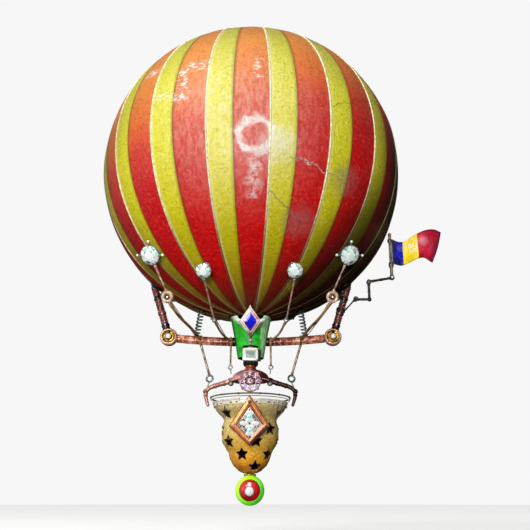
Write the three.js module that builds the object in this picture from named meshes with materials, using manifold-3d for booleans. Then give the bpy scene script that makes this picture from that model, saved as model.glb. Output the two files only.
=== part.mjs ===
// Hot air balloon with a jewelled frame, a star-pierced gondola and a flag on a jointed arm.
// Millimetres, +Z up, the front faces -Y. The origin is the centre of the envelope.
import * as THREE from "three";
import { mergeVertices } from "three/addons/utils/BufferGeometryUtils.js";
import Module from "manifold-3d";

const wasm = await Module();
wasm.setup();

// Envelope
const envelopeRadius = 6000;
const skin = 10;
const mouthRadius = 620;
const crownHole = 300;
const envelopeSides = 45;
const envelopeRows = 16;

// Frame under the envelope
const armTop = [3820, 0, -4760];
const corner = [3180, 0, -6750];
const armRadius = 140;
const barEndZ = -6770;
const barMiddleZ = -6950;
const barRadius = 162;
const barInner = 662;
const springX = 1940;

// Funnel, burner and yoke
const funnelTop = { r: 790, z: -6036 };
const funnelLow = { r: 500, z: -7590 };
const funnelWall = 20;
const domeRadius = 690;
const domeTopZ = -8020;
const domeRimZ = -8480;
const domeWall = 40;
const rosetteY = -800;
const rosetteZ = -8576;

// Gondola
const wall = 40;
const floorZ = -10620;
const hoop = { r: 1500, z: -9110, tube: 28 };
const rimZ = -9460;
const starRadius = 242;
const starDeep = 460;
const hatchTilt = THREE.MathUtils.degToRad(9.97);
const hatchTop = [0, -1514, -9173];
const hatchPinDrop = 247;
const hatchThick = 70;

// Lamp under the gondola
const lampZ = -12425;
const globeRadius = 530;
const coreRadius = 385;

// Flag and its arm
const plane1 = 45;
const plane2 = -55;
const eyeHalf = 40;
const eyeRadius = 95;
const eyeBore = 34;
const elbowPin = 27;
const elbowCap = 60;
const elbow4 = [4130, -5220];
const elbow3 = [4680, -5220];
const elbow2 = [4680, -4520];
const elbow1 = [5600, -4360];
const poleTopZ = -2560;
const poleRadius = 50;

const V = (p) => new THREE.Vector3(...p);

// A closed three.js geometry as a solid.
function solid(geometry) {
  const g = geometry.clone();
  g.deleteAttribute("normal");
  g.deleteAttribute("uv");
  const merged = mergeVertices(g, 1e-3);
  const p = merged.attributes.position.array;
  const tris = [];
  let volume = 0;
  for (let i = 0; i < merged.index.count; i += 3) {
    const [a, b, c] = [0, 1, 2].map((k) => merged.index.array[i + k]);
    if (a === b || b === c || a === c) continue;
    tris.push(a, b, c);
    const [va, vb, vc] = [a, b, c].map((k) => new THREE.Vector3(p[3 * k], p[3 * k + 1], p[3 * k + 2]));
    volume += va.dot(vb.cross(vc));
  }
  if (volume < 0) {
    tris.reverse();
  }
  const mesh = new wasm.Mesh({ numProp: 3, vertProperties: p, triVerts: new Uint32Array(tris) });
  return new wasm.Manifold(mesh);
}

const join = (...parts) => parts.reduce((a, b) => a.add(b));

// A profile of [radius, z] pairs turned about Z.
function turned(profile, sides = 24) {
  const points = profile.map(([r, z]) => new THREE.Vector2(r, z));
  const onAxis = profile[0][0] < 1e-6 && profile[profile.length - 1][0] < 1e-6;
  if (!onAxis) points.push(points[0].clone());
  return new THREE.LatheGeometry(points, sides).rotateX(Math.PI / 2);
}

// Turns a shape made along +Z to lie along a direction, with its foot at a point.
function along(geometry, foot, direction) {
  const up = new THREE.Vector3(0, 0, 1);
  const turn = new THREE.Quaternion().setFromUnitVectors(up, V(direction).normalize());
  return geometry.clone().applyQuaternion(turn).translate(...foot);
}

function ball(radius, centre, sides = 8, rows = 6) {
  return solid(new THREE.SphereGeometry(radius, sides, rows).rotateX(Math.PI / 2).translate(...centre));
}

function rod(from, to, radius, sides = 8, radiusTo = radius) {
  const way = V(to).sub(V(from));
  const shape = new THREE.CylinderGeometry(radiusTo, radius, way.length(), sides).rotateX(Math.PI / 2);
  return solid(along(shape.translate(0, 0, way.length() / 2), from, way.toArray()));
}

// A round tube of even thickness along a smooth curve through points.
function tube(points, radius, steps, sides = 6) {
  const path = new THREE.CatmullRomCurve3(points.map(V), false, "centripetal");
  const ring = [];
  for (let i = 0; i < sides; i++) {
    const a = (2 * Math.PI * i) / sides;
    ring.push(new THREE.Vector2(radius * Math.cos(a), radius * Math.sin(a)));
  }
  const options = { steps, extrudePath: path, bevelEnabled: false };
  return solid(new THREE.ExtrudeGeometry(new THREE.Shape(ring), options));
}

function hoopRing(radius, tubeRadius, centre, direction, sides = 16, tubeSides = 6) {
  return solid(along(new THREE.TorusGeometry(radius, tubeRadius, tubeSides, sides), centre, direction));
}

// A flat outline of [x, z] pairs, standing up, its middle plane on y = 0.
function plate(outline, thick, hole) {
  const shape = new THREE.Shape(outline.map(([x, z]) => new THREE.Vector2(x, z)));
  if (hole) shape.holes.push(new THREE.Path(hole.map(([x, z]) => new THREE.Vector2(x, z))));
  const options = { depth: thick, bevelEnabled: false };
  return new THREE.ExtrudeGeometry(shape, options).translate(0, 0, -thick / 2).rotateX(Math.PI / 2);
}

const box = (sx, sy, sz, centre) => solid(new THREE.BoxGeometry(sx, sy, sz).translate(...centre));

const kite = (halfWidth, top, wide, bottom) => [
  [0, top],
  [-halfWidth, wide],
  [0, bottom],
  [halfWidth, wide],
];

function star(radius) {
  const outline = [];
  for (let i = 0; i < 10; i++) {
    const r = i % 2 ? 0.48 * radius : radius;
    const a = Math.PI / 2 + (i * Math.PI) / 5;
    outline.push([r * Math.cos(a), r * Math.sin(a)]);
  }
  return outline;
}

const mirrorX = (s) => s.mirror([1, 0, 0]);
const mirrorY = (s) => s.mirror([0, 1, 0]);

const balloon = new THREE.Group();
balloon.name = "balloon";

function add(name, made, colour, roughness = 0.4, metalness = 0) {
  const m = made.simplify(0.5).getMesh();
  const geometry = new THREE.BufferGeometry();
  geometry.setAttribute("position", new THREE.BufferAttribute(m.vertProperties, 3));
  geometry.setIndex(new THREE.BufferAttribute(m.triVerts, 1));
  geometry.computeVertexNormals();
  const material = new THREE.MeshStandardMaterial({ color: colour, roughness, metalness });
  const mesh = new THREE.Mesh(geometry, material);
  mesh.name = name;
  balloon.add(mesh);
}

const sides = [
  { word: "left", flip: mirrorX },
  { word: "right", flip: (s) => s },
];
const ends = [
  { word: "front", flip: (s) => s },
  { word: "rear", flip: mirrorY },
];

// Envelope, its crown cap and its mouth ring
const lowAngle = Math.asin(mouthRadius / envelopeRadius);
const highAngle = Math.PI - Math.asin(crownHole / envelopeRadius);
function arc(radius, from, to, rows) {
  const points = [];
  for (let i = 0; i <= rows; i++) {
    const a = from + ((to - from) * i) / rows;
    points.push([radius * Math.sin(a), -radius * Math.cos(a)]);
  }
  return points;
}
const skinProfile = [
  ...arc(envelopeRadius, lowAngle, highAngle, envelopeRows),
  ...arc(envelopeRadius - skin, highAngle, lowAngle, envelopeRows),
];
add("envelope", solid(turned(skinProfile, envelopeSides)), 0xb03020, 0.5);

const crownProfile = [
  [0, 6190], [60, 6175], [80, 6130], [60, 6085], [110, 6065],
  [330, 6048], [430, 6016], [430, 6001], [0, 6018],
];
add("crown_cap", solid(turned(crownProfile, 18)), 0xb5893a, 0.35, 1);

const mouthProfile = [
  [560, -6030], [800, -6030], [812, -6008], [800, -5986],
  [620, -5986], [604, -5940], [560, -5940],
];
add("mouth_ring", solid(turned(mouthProfile, 20)), 0xb5893a, 0.35, 1);

// Gem studs, one row of large ones and one of small ones
const studs = [
  { size: "large", at: [3565, -2690, -4260], gem: 375, beads: 3 },
  { size: "small", at: [1590, -3226, -5000], gem: 285, beads: 0 },
];
const studRise = 262;
const studLean = new THREE.Vector3(0, -0.95, -0.3);
const studMiddle = ({ at }) => V(at).normalize().multiplyScalar(envelopeRadius + studRise);
const studWay = ({ at }) => V(at).normalize().add(studLean).normalize();
for (const stud of studs) {
  const { size, at, gem, beads } = stud;
  const normal = V(at).normalize();
  const seat = normal.clone().multiplyScalar(envelopeRadius + 6).toArray();
  const way = studWay(stud);
  const middle = studMiddle(stud);
  const foot = [[0, 0], [0.66 * gem, 0], [0.66 * gem, 25], [0.28 * gem, 50], [0.28 * gem, 190], [0, 190]];
  const stone = [[0, -120], [0.55 * gem, -95], [gem, -18], [gem, 22], [0.62 * gem, 112], [0, 128]];
  const parts = [
    solid(along(turned(foot, 10), seat, normal.toArray())),
    solid(along(turned(stone, 12), middle.toArray(), way.toArray())),
  ];
  const turn = new THREE.Quaternion().setFromUnitVectors(new THREE.Vector3(0, -1, 0), way);
  for (let i = 0; i < beads; i++) {
    const a = Math.PI / 2 + (i - 1) * (Math.PI / 2);
    const out = new THREE.Vector3(Math.cos(a), 0, Math.sin(a)).applyQuaternion(turn);
    const tip = middle.clone().addScaledVector(out, 1.36 * gem);
    parts.push(rod(middle.clone().addScaledVector(out, 0.8 * gem).toArray(), tip.toArray(), 16, 4));
    parts.push(ball(52, tip.toArray(), 6, 4));
  }
  for (const side of sides) {
    for (const end of ends) {
      add(`stud_${size}_${end.word}_${side.word}`, end.flip(side.flip(join(...parts))), 0xe8f4f2, 0.1, 0.2);
    }
  }
}

// The point beside a stud's gem that faces a target.
function studEdge(stud, target) {
  const middle = studMiddle(stud);
  const out = V(target).sub(middle).projectOnPlane(studWay(stud)).normalize();
  return middle.addScaledVector(out, stud.gem + 26).toArray();
}

// Outer stays: a wire from each large stud to an eyelet, then a curved rod to the cross bar
const barHeight = (x) => barMiddleZ + (barEndZ - barMiddleZ) * (x / corner[0]) ** 2;
const eyelet = [3000, -2200, -5740];
const outerX = 1930;
const outerClamp = [outerX, -232, barHeight(outerX)];
function outerStay() {
  const foot = studEdge(studs[0], eyelet);
  const curve = [[2920, -2150, -5950], [2620, -1750, -6330], [2200, -900, -6640], outerClamp];
  return join(
    rod(foot, [3025, -2210, -5560], 22, 5),
    hoopRing(170, 62, eyelet, [0.1, -0.95, -0.3], 12, 6),
    rod([3000, -2170, -5730], [3000, -2225, -5745], 130, 10),
    tube(curve, 42, 9, 6),
  );
}
// Inner stays: a wire from each small stud to a bead, then a rod to the cross bar
const innerX = 770;
function innerStay() {
  const foot = studEdge(studs[1], [1340, -1200, -6370]);
  return join(
    rod(foot, [1345, -1240, -6350], 22, 5),
    ball(95, [1340, -1200, -6370]),
    tube([[1330, -1160, -6400], [1080, -640, -6760], [innerX + 10, -226, barHeight(innerX)]], 34, 5),
  );
}
// The rear stays, mirrored to the back after they are made here in front: a plain wire to the cross bar
function rearStay(stud, x) {
  const clamp = [x, -208, barHeight(x) + 40];
  const wire = rod(studEdge(stud, clamp), clamp, 20, 6);
  return join(wire, rod([x, -208, barHeight(x) + 60], [x, -208, barHeight(x) - 20], 40, 8));
}
for (const side of sides) {
  const wires = { outer: rearStay(studs[0], outerX + 120), inner: rearStay(studs[1], innerX + 90) };
  add(`outer_stay_front_${side.word}`, side.flip(outerStay()), 0xb08a50, 0.4, 1);
  add(`inner_stay_front_${side.word}`, side.flip(innerStay()), 0xb08a50, 0.4, 1);
  add(`outer_stay_rear_${side.word}`, mirrorY(side.flip(wires.outer)), 0xb08a50, 0.4, 1);
  add(`inner_stay_rear_${side.word}`, mirrorY(side.flip(wires.inner)), 0xb08a50, 0.4, 1);
}

// Hangers: a saddle over the cross bar, a rod and the ring that holds the yoke
function saddle(x, inner, outer, width) {
  const profile = [[inner, -width / 2], [outer, -width / 2], [outer, width / 2], [inner, width / 2]];
  return solid(along(turned(profile, 12), [x, 0, barHeight(x)], [1, 0, 0]));
}
function outerHanger() {
  return join(
    saddle(outerX, 178, 204, 90),
    rod([outerX - 8, 0, barHeight(outerX) - 184], [1570, 0, -8235], 38, 6),
    hoopRing(120, 32, [1560, 0, -8360], [0.2, -1, 0.1], 12, 6),
    rod([1570, 0, -8480], [1628, 0, -8662], 22, 5),
  );
}
function innerHanger() {
  return join(
    saddle(innerX, 176, 200, 70),
    rod([innerX, 0, barHeight(innerX) - 182], [774, 0, -7850], 30, 6),
    hoopRing(72, 26, [774, 0, -7926], [0, 1, 0], 10, 5),
    rod([770, 0, -7990], [742, 0, -8180], 18, 5),
  );
}
for (const side of sides) {
  add(`outer_hanger_${side.word}`, side.flip(outerHanger()), 0x9a9a98, 0.35, 1);
  add(`inner_hanger_${side.word}`, side.flip(innerHanger()), 0x9a9a98, 0.35, 1);
}

// Side arms with their pads, corner joints with pearls, cross bars and springs
function bandedRod(from, to, radius, bands, bandRadius, bandWide) {
  const length = V(to).distanceTo(V(from));
  const profile = [[0, 0], [radius, 0]];
  for (const share of bands) {
    const z = share * length;
    profile.push([radius, z - bandWide / 2], [bandRadius, z - bandWide / 2]);
    profile.push([bandRadius, z + bandWide / 2], [radius, z + bandWide / 2]);
  }
  profile.push([radius, length], [0, length]);
  return solid(along(turned(profile, 10), from, V(to).sub(V(from)).toArray()));
}
const inward = V(armTop).normalize();
const armWay = V(armTop).sub(V(corner)).normalize();
const armFoot = V(corner).addScaledVector(armWay, 332).toArray();
const armHead = V(armTop).addScaledVector(armWay, 60).toArray();
function sideArm() {
  const padProfile = [[0, 4], [290, 4], [290, 55], [220, 120], [0, 120]];
  const seat = inward.clone().multiplyScalar(6000).toArray();
  const pad = solid(along(turned(padProfile, 12), seat, inward.toArray()));
  const arm = bandedRod(armFoot, armHead, armRadius, [0.08, 0.36, 0.7], armRadius + 22, 90);
  const below = new THREE.BoxGeometry(900, 900, 600).translate(0, 0, envelopeRadius + 4 - 300);
  return join(arm, pad).subtract(solid(along(below, [0, 0, 0], inward.toArray())));
}
function cornerJoint() {
  const profile = [
    [0, -170], [330, -170], [330, 110], [300, 165],
    [262, 180], [210, 150], [190, 90], [0, 90],
  ];
  return solid(along(turned(profile, 16), corner, [0, -1, 0]));
}
function crossBar() {
  const points = [];
  for (let i = 0; i <= 6; i++) {
    const x = barInner + ((corner[0] - 336 - barInner) * i) / 6;
    points.push([x, 0, barHeight(x)]);
  }
  const flange = rod([barInner, 0, barHeight(barInner)], [barInner + 40, 0, barHeight(barInner)], 182, 10);
  return join(tube(points, barRadius, 5, 12), flange);
}
function spring() {
  const from = [springX, 0, -Math.sqrt(envelopeRadius ** 2 - springX ** 2) - 12];
  const to = [2092, 0, barHeight(2092) + 176];
  const turns = 5;
  const turnSteps = 8;
  const points = [];
  const axis = V(to).sub(V(from));
  for (let i = 0; i <= turns * turnSteps; i++) {
    const t = i / (turns * turnSteps);
    const a = 2 * Math.PI * turns * t;
    points.push([from[0] + axis.x * t + 98 * Math.cos(a), 98 * Math.sin(a), from[2] - 40 + (axis.z + 60) * t]);
  }
  const lifted = ([x, y, z], rise) => [x, y, z + rise];
  return join(
    tube(points, 26, turns * turnSteps, 4),
    rod(lifted(from, -24), lifted(from, -64), 120, 10),
    rod(lifted(to, 45), to, 98, 10),
  );
}
for (const side of sides) {
  add(`side_arm_${side.word}`, side.flip(sideArm()), 0x6b3a34, 0.45, 1);
  add(`corner_joint_${side.word}`, side.flip(cornerJoint()), 0xb88a3c, 0.3, 1);
  add(`corner_pearl_${side.word}`, side.flip(ball(105, [corner[0], -197, corner[2]], 12, 8)), 0xf2f0ea, 0.15);
  add(`cross_bar_${side.word}`, side.flip(crossBar()), 0x9c5a48, 0.4, 1);
  add(`spring_${side.word}`, side.flip(spring()), 0x2e2c2c, 0.4, 1);
}

// Funnel with a notched front, the jewelled brooch before it and the burner block in it
function funnel() {
  const rise = (funnelTop.r - funnelLow.r) / (funnelTop.z - funnelLow.z);
  const slope = (z) => funnelLow.r + rise * (z - funnelLow.z);
  const profile = [
    [funnelLow.r, funnelLow.z], [slope(-6800) - 12, -6800], [funnelTop.r, funnelTop.z],
    [funnelTop.r - funnelWall, funnelTop.z], [slope(-6800) - 12 - funnelWall, -6800],
    [funnelLow.r - funnelWall, funnelLow.z],
  ];
  const notch = solid(plate([[0, -6840], [620, -5900], [-620, -5900]], 1200).translate(0, -700, 0));
  const window = box(572, 600, 700, [0, -430, -7538]);
  return solid(turned(profile, 24)).subtract(notch).subtract(window);
}
add("funnel", funnel(), 0x1f9a32, 0.25);

const broochTop = [0, -1405, -5966];
const broochTilt = Math.atan2(607, 887);
const setBrooch = (g) => g.rotateX(broochTilt).translate(...broochTop);
function brooch() {
  const rim = solid(setBrooch(plate(kite(404, 104, -494, -1163), 60, kite(244, -140, -494, -896).reverse())));
  const back = solid(setBrooch(plate(kite(254, -130, -494, -911), 16).translate(0, 22, 0)));
  const bead = (s) => new THREE.SphereGeometry(62, 6, 5).translate(s * 440, 0, -468);
  const beads = [-1, 1].map((s) => solid(setBrooch(bead(s))));
  const tip = solid(setBrooch(new THREE.ConeGeometry(34, 90, 6).rotateX(Math.PI / 2).translate(0, 0, 118)));
  return join(rim, back, ...beads, tip, rod([0, -772, -6872], [0, -642, -6932], 45, 6));
}
add("brooch", brooch(), 0xd9b0a0, 0.3, 1);
const gemFace = plate(kite(239, -147, -494, -888), 36).translate(0, -8, 0);
const gemTable = plate(kite(146, -276, -494, -748), 60).translate(0, -18, 0);
add("brooch_gem", join(solid(setBrooch(gemFace)), solid(setBrooch(gemTable))), 0x1020d0, 0.05);

add("link_beads", join(
  tube([[0, -748, -6968], [0, -722, -7030], [0, -672, -7150], [0, -600, -7226], [0, -420, -7232]], 20, 5, 6),
  ball(70, [0, -722, -7030]),
), 0xc9c9cc, 0.25, 1);

const blockProfile = [[0, -7774], [370, -7774], [392, -7740], [392, -7340], [300, -7272], [0, -7262]];
const block = solid(turned(blockProfile, 4));
add("burner_block", block.rotate([0, 0, 45]).scale([1, 1.2, 1]).translate([0, -225, 0]), 0xe4ece8, 0.1, 0.3);
const collarProfile = [[0, -7870], [270, -7870], [285, -7776], [0, -7776]];
add("burner_collar", solid(turned(collarProfile, 8).translate(0, -40, 0)), 0x0e1a12, 0.3);
const neckProfile = [[0, -8020], [225, -8020], [195, -7950], [225, -7872], [0, -7872]];
add("neck", solid(turned(neckProfile, 14)), 0xa8503c, 0.35, 1);

// Yoke: a hollow dome with two arms that end in hooks
function yoke() {
  const profile = [
    [0, domeTopZ - 4], [230, domeTopZ - 4], [420, -8090], [600, -8190],
    [domeRadius, -8320], [domeRadius + 20, domeRimZ], [domeRadius - domeWall, domeRimZ],
    [domeRadius - domeWall - 10, -8330], [560, -8225], [400, -8130], [0, domeTopZ - 50],
  ];
  const arm = [[700, 0, -8420], [960, 0, -8520], [1240, 0, -8600], [1560, 0, -8720], [1690, 0, -8850]];
  const hook = [[1690, 0, -8850], [1690, 0, -9040], [1640, 0, -9230], [1590, 0, -9380]];
  const half = join(
    tube(arm, 78, 6, 6), tube(hook, 60, 5, 6),
    ball(100, [1700, 0, -8850]), ball(120, [740, 0, -8440]),
    rod([740, 0, -8440], [740, -170, -8560], 95, 8),
    ball(78, [742, -214, -8590]),
  );
  const boss = rod([0, -640, rosetteZ], [0, -738, rosetteZ], 120, 12);
  const backPlate = rod([0, -670, -8380], [0, -680, -8560], 45, 8);
  return join(solid(turned(profile, 20)), half, mirrorX(half), boss, backPlate);
}
add("yoke", yoke(), 0x9a4a38, 0.35, 1);

// Rosette wheel and the pin it turns on
function rosette() {
  const parts = [
    solid(along(turned([[46, -34], [120, -34], [120, 34], [46, 34]], 16), [0, rosetteY, rosetteZ], [0, -1, 0])),
    solid(along(turned([[205, -18], [245, -18], [245, 18], [205, 18]], 16), [0, rosetteY, rosetteZ], [0, -1, 0])),
    solid(along(turned([[350, -22], [400, -22], [400, 22], [350, 22]], 20), [0, rosetteY, rosetteZ], [0, -1, 0])),
  ];
  for (let i = 0; i < 8; i++) {
    const a = (i * Math.PI) / 4;
    const out = [Math.sin(a), Math.cos(a)];
    const p = (r) => [out[0] * r, rosetteY, rosetteZ + out[1] * r];
    parts.push(rod(p(110), p(360), 24, 4));
    parts.push(rod([p(405)[0], rosetteY - 22, p(405)[2]], [p(405)[0], rosetteY + 22, p(405)[2]], 42, 6));
  }
  return join(...parts);
}
add("rosette", rosette(), 0xb9a8bc, 0.25, 1);
add("rosette_pin", join(
  rod([0, -738.5, rosetteZ], [0, rosetteY - 52, rosetteZ], 40, 16),
  rod([0, rosetteY - 42, rosetteZ], [0, rosetteY - 74, rosetteZ], 82, 16),
), 0x6a3038, 0.3, 1);

// Railing over the gondola's rim
function topHoop() {
  const parts = [hoopRing(hoop.r, hoop.tube, [0, 0, hoop.z], [0, 0, 1], 30, 5)];
  for (let i = 0; i < 12; i++) {
    const a = ((i + 0.5) * Math.PI) / 6;
    const at = (r, z) => [r * Math.sin(a), r * Math.cos(a), z];
    parts.push(rod(at(hoop.r, hoop.z), at(1424, -9440), 16, 4));
  }
  return join(...parts);
}
add("top_hoop", topHoop(), 0x4a3a26, 0.4, 1);
const bandProfile = [
  [1330, -9456], [1372, -9456], [1386, -9330], [1408, -9310],
  [1408, -9278], [1380, -9270], [1350, -9330],
];
add("rail_band", solid(turned(bandProfile, 30)), 0xe8e0cc, 0.4, 0.6);

// Gondola shell, pierced by stars and by a doorway behind the hatch
const shellProfile = [
  { r: 1332, z: rimZ, inner: 1290 },
  { r: 1280, z: -9580, inner: 1236 },
  { r: 950, z: -9920, inner: 918 },
  { r: 1060, z: -10200, inner: 1022 },
  { r: 1040, z: -10710, inner: 1000 },
  { r: 800, z: -11090, inner: 764 },
  { r: 745, z: -11300, inner: 702 },
  { r: 640, z: -11530, inner: 590 },
  { r: 430, z: -11730, inner: 380 },
  { r: 220, z: -11830, inner: 0 },
  { r: 0, z: -11860, inner: 0 },
];
const starRows = [
  { z: -9735, angles: [-49, 71, 131, 191, 251] },
  { z: -10290, angles: [44, 104, 164, 224, -80] },
  { z: -10735, angles: [-49, 13, 84, 141, 199, 257] },
  { z: -11175, angles: [-21, 56, 166, 270] },
  { z: -11620, angles: [20, 120, 240] },
];
const doorway = kite(395, -9640, -10180, -10560);
function radiusAt(z) {
  const i = shellProfile.findIndex((p) => p.z <= z);
  const [a, b] = [shellProfile[i - 1], shellProfile[i]];
  return a.r + ((b.r - a.r) * (z - a.z)) / (b.z - a.z);
}
function gondolaShell() {
  const outer = shellProfile.map(({ r, z }) => [r, z]);
  const rows = shellProfile.filter((p, i) => i < 10 && i !== 7);
  const hollow = rows.map(({ inner, z }) => [inner, z + 0.03 * (1332 - inner)]);
  const outside = solid(turned([[0, rimZ], ...outer], 28));
  const inside = solid(turned([[0, rimZ + 50], [1290, rimZ + 50], ...hollow], 20));
  let made = outside.subtract(inside);
  for (const { z, angles } of starRows) {
    for (const angle of angles) {
      const a = THREE.MathUtils.degToRad(angle);
      const turn = Math.abs(angle) < 90 ? 0.4 * a : a;
      const place = [radiusAt(z) * Math.sin(a), -radiusAt(z) * Math.cos(a), z];
      made = made.subtract(solid(plate(star(starRadius), starDeep).rotateZ(turn).translate(...place)));
    }
  }
  return made.subtract(solid(plate(doorway, 700).translate(0, -1000, 0)));
}
add("gondola_shell", gondolaShell(), 0xc79a45, 0.5);
const deck = [[0, floorZ - wall], [985, floorZ - wall], [985, floorZ], [0, floorZ]];
add("gondola_floor", solid(turned(deck, 28)), 0x7a5a34, 0.7);

// Hatch: a kite that hangs from one pin at its top corner
const setHatch = (g) => g.rotateX(hatchTilt).translate(...hatchTop);
const infillOutline = kite(440, -438, -1034, -1540);
const pinHole = (r) => Array.from({ length: 16 }, (_, i) => {
  const a = (-2 * Math.PI * i) / 16;
  return [r * Math.cos(a), -hatchPinDrop + r * Math.sin(a)];
});
function hatchFrame() {
  const rim = solid(setHatch(plate(kite(735, 0, -1104, -1792), hatchThick, infillOutline.slice().reverse())));
  const bore = solid(setHatch(plate(pinHole(34).reverse(), 200)));
  return rim.subtract(bore);
}
add("hatch_frame", hatchFrame(), 0xb5652c, 0.4);
const infill = plate(kite(438, -441, -1034, -1536), 30);
add("hatch_infill", solid(setHatch(infill)), 0xdfeeea, 0.2);
const pinAt = new THREE.Vector3(0, 0, -hatchPinDrop)
  .applyAxisAngle(new THREE.Vector3(1, 0, 0), hatchTilt)
  .add(V(hatchTop));
const pinWay = new THREE.Vector3(0, -1, 0).applyAxisAngle(new THREE.Vector3(1, 0, 0), hatchTilt);
const pinPoint = (d) => pinAt.clone().addScaledVector(pinWay, d).toArray();
add("hatch_pin", join(
  rod(pinPoint(-95), pinPoint(62), 28, 12),
  rod(pinPoint(41), pinPoint(66), 58, 12),
).subtract(solid(turned([[1200, -9700], [1412, -9700], [1412, -9000], [1200, -9000]], 36))), 0x2c2622, 0.4, 1);

// Lamp: a red core with a gem at each end, in a lime globe under a collar
const collar = [[130, -11866], [205, -11850], [235, -11880], [215, -11928], [130, -11904]];
add("lamp_collar", solid(turned(collar, 14)), 0xa8763a, 0.35, 1);
function core() {
  const profile = [...arc(coreRadius, 0, Math.PI / 2, 5), ...arc(coreRadius, Math.PI / 2, Math.PI, 5)];
  const shifted = profile.map(([r, z], i) => [r, z + (i < 6 ? -300 : 300)]);
  return solid(along(turned(shifted, 18), [0, 0, lampZ], [0, -1, 0]));
}
const bore = rod([0, -600, lampZ], [0, 600, lampZ], coreRadius + 4, 18);
add("lamp_globe", ball(globeRadius, [0, 0, lampZ], 22, 14).subtract(bore), 0x66ee11, 0.2);
add("lamp_core", core(), 0xc00812, 0.1);
for (const end of ends) {
  const gem = join(ball(165, [0, -660, lampZ - 40], 12, 8), ball(85, [0, -625, lampZ + 190]));
  add(`lamp_gem_${end.word}`, end.flip(gem.subtract(core().scale([1.001, 1.001, 1]))), 0xf6f6f6, 0.1);
}

// Flag, its pole and the cranked arm that carries it
const flat = (at, y) => [at[0], y, at[1]];
const disc = (at, y0, y1, r, sides = 12) => rod(flat(at, y0), flat(at, y1), r, sides);
function eye(at, y) {
  const ring = [[eyeBore, -eyeHalf], [eyeRadius, -eyeHalf], [eyeRadius, eyeHalf], [eyeBore, eyeHalf]];
  return solid(along(turned(ring, 14), flat(at, y), [0, 1, 0]));
}
// A pin from one plane through the eye in the other, with a cap beyond it
function elbowPinTo(at, from, to) {
  const way = Math.sign(to - from);
  return join(disc(at, from, to + 66 * way, elbowPin), disc(at, to + 46 * way, to + 66 * way, elbowCap));
}
function flagBracket() {
  const at = V(corner).addScaledVector(armWay, 1130);
  const [inner, outer] = [armRadius + 8, armRadius + 44];
  const band = turned([[inner, -60], [outer, -60], [outer, 60], [inner, 60]], 12);
  const clamp = solid(along(band, at.toArray(), armWay.toArray()));
  const from = at.clone().add(new THREE.Vector3(armRadius + 42, 0, 10)).toArray();
  return join(
    clamp, rod(from, [elbow4[0] - 60, plane2, elbow4[1] - 55], 30, 8, 34),
    disc(elbow4, plane2 - eyeHalf, plane2 + eyeHalf, eyeRadius), elbowPinTo(elbow4, plane2, plane1),
  );
}
function lowerCrank() {
  const lift = (at) => flat(at, plane1);
  return join(
    eye(elbow4, plane1),
    rod([elbow4[0] + 76, plane1, elbow4[1]], lift(elbow3), 42, 8),
    ball(86, lift(elbow3)),
    rod(lift(elbow3), [elbow2[0], plane1, elbow2[1] - 75], 42, 8),
    disc(elbow2, plane1 - eyeHalf, plane1 + eyeHalf, eyeRadius), elbowPinTo(elbow2, plane1, plane2),
  );
}
function upperCrank() {
  return join(
    eye(elbow2, plane2),
    rod([elbow2[0] + 76, plane2, elbow2[1] + 13], flat(elbow1, plane2), 42, 8),
    ball(108, flat(elbow1, plane2)),
    rod(flat(elbow1, plane2), [elbow1[0], plane2, poleTopZ], poleRadius, 10),
    ball(72, [elbow1[0], plane2, poleTopZ + 30]),
    rod([elbow1[0], plane2, -3925], [elbow1[0], plane2, -3900], 84, 10),
  );
}
// The flag's upper and lower edges from the pole outwards: [out along x, z]
const flagUpper = [
  [97, -2730], [360, -2822], [620, -2766], [938, -2574],
  [1260, -2435], [1560, -2341], [1860, -2313], [2118, -2383],
];
const flagLower = [
  [97, -3790], [290, -3820], [440, -3825], [690, -3755],
  [930, -3650], [1180, -3558], [1360, -3535], [1680, -3703],
];
function edgeCurve(points) {
  const places = points.map(([x, z]) => new THREE.Vector3(x, 0, z));
  return new THREE.CatmullRomCurve3(places, false, "centripetal");
}
function flagCloth() {
  const g = new THREE.BoxGeometry(1, 1, 1, 12, 1, 3);
  const p = g.attributes.position;
  const [upper, lower] = [edgeCurve(flagUpper), edgeCurve(flagLower)];
  for (let i = 0; i < p.count; i++) {
    const u = Math.min(1, Math.max(0, p.getX(i) + 0.5));
    const v = p.getZ(i) + 0.5;
    const at = lower.getPoint(u).lerp(upper.getPoint(u), v);
    const wave = 95 * Math.sin(2 * Math.PI * 1.15 * u) * Math.min(1, 3 * u);
    const swell = 50 * u * u * Math.sin(Math.PI * v);
    p.setXYZ(i, elbow1[0] + at.x + swell, plane2 + wave + p.getY(i) * 14, at.z);
  }
  return solid(g);
}
function flag() {
  const sleeve = (z0, z1) => {
    const ring = [[poleRadius + 7, z0], [poleRadius + 38, z0], [poleRadius + 38, z1], [poleRadius + 7, z1]];
    return solid(turned(ring, 14).translate(elbow1[0], plane2, 0));
  };
  const tab = (z) => box(50, 20, 90, [elbow1[0] + poleRadius + 47, plane2, z]);
  return join(sleeve(-2860, -2740), sleeve(-3880, -3720), tab(-2800), tab(-3760), flagCloth());
}
add("flag_bracket", flagBracket(), 0x3c3a38, 0.4, 1);
add("lower_crank", lowerCrank(), 0x3c3a38, 0.4, 1);
add("flag_pole", upperCrank(), 0x6a625a, 0.4, 1);
add("flag", flag(), 0xc01830, 0.3);

export default balloon;
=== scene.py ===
# Hot air balloon: fine shapes and finishes around its solid frame. Metres, +Z up, the front faces -Y.
import math
import bpy
import bmesh
from mathutils import Matrix, Vector


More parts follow.
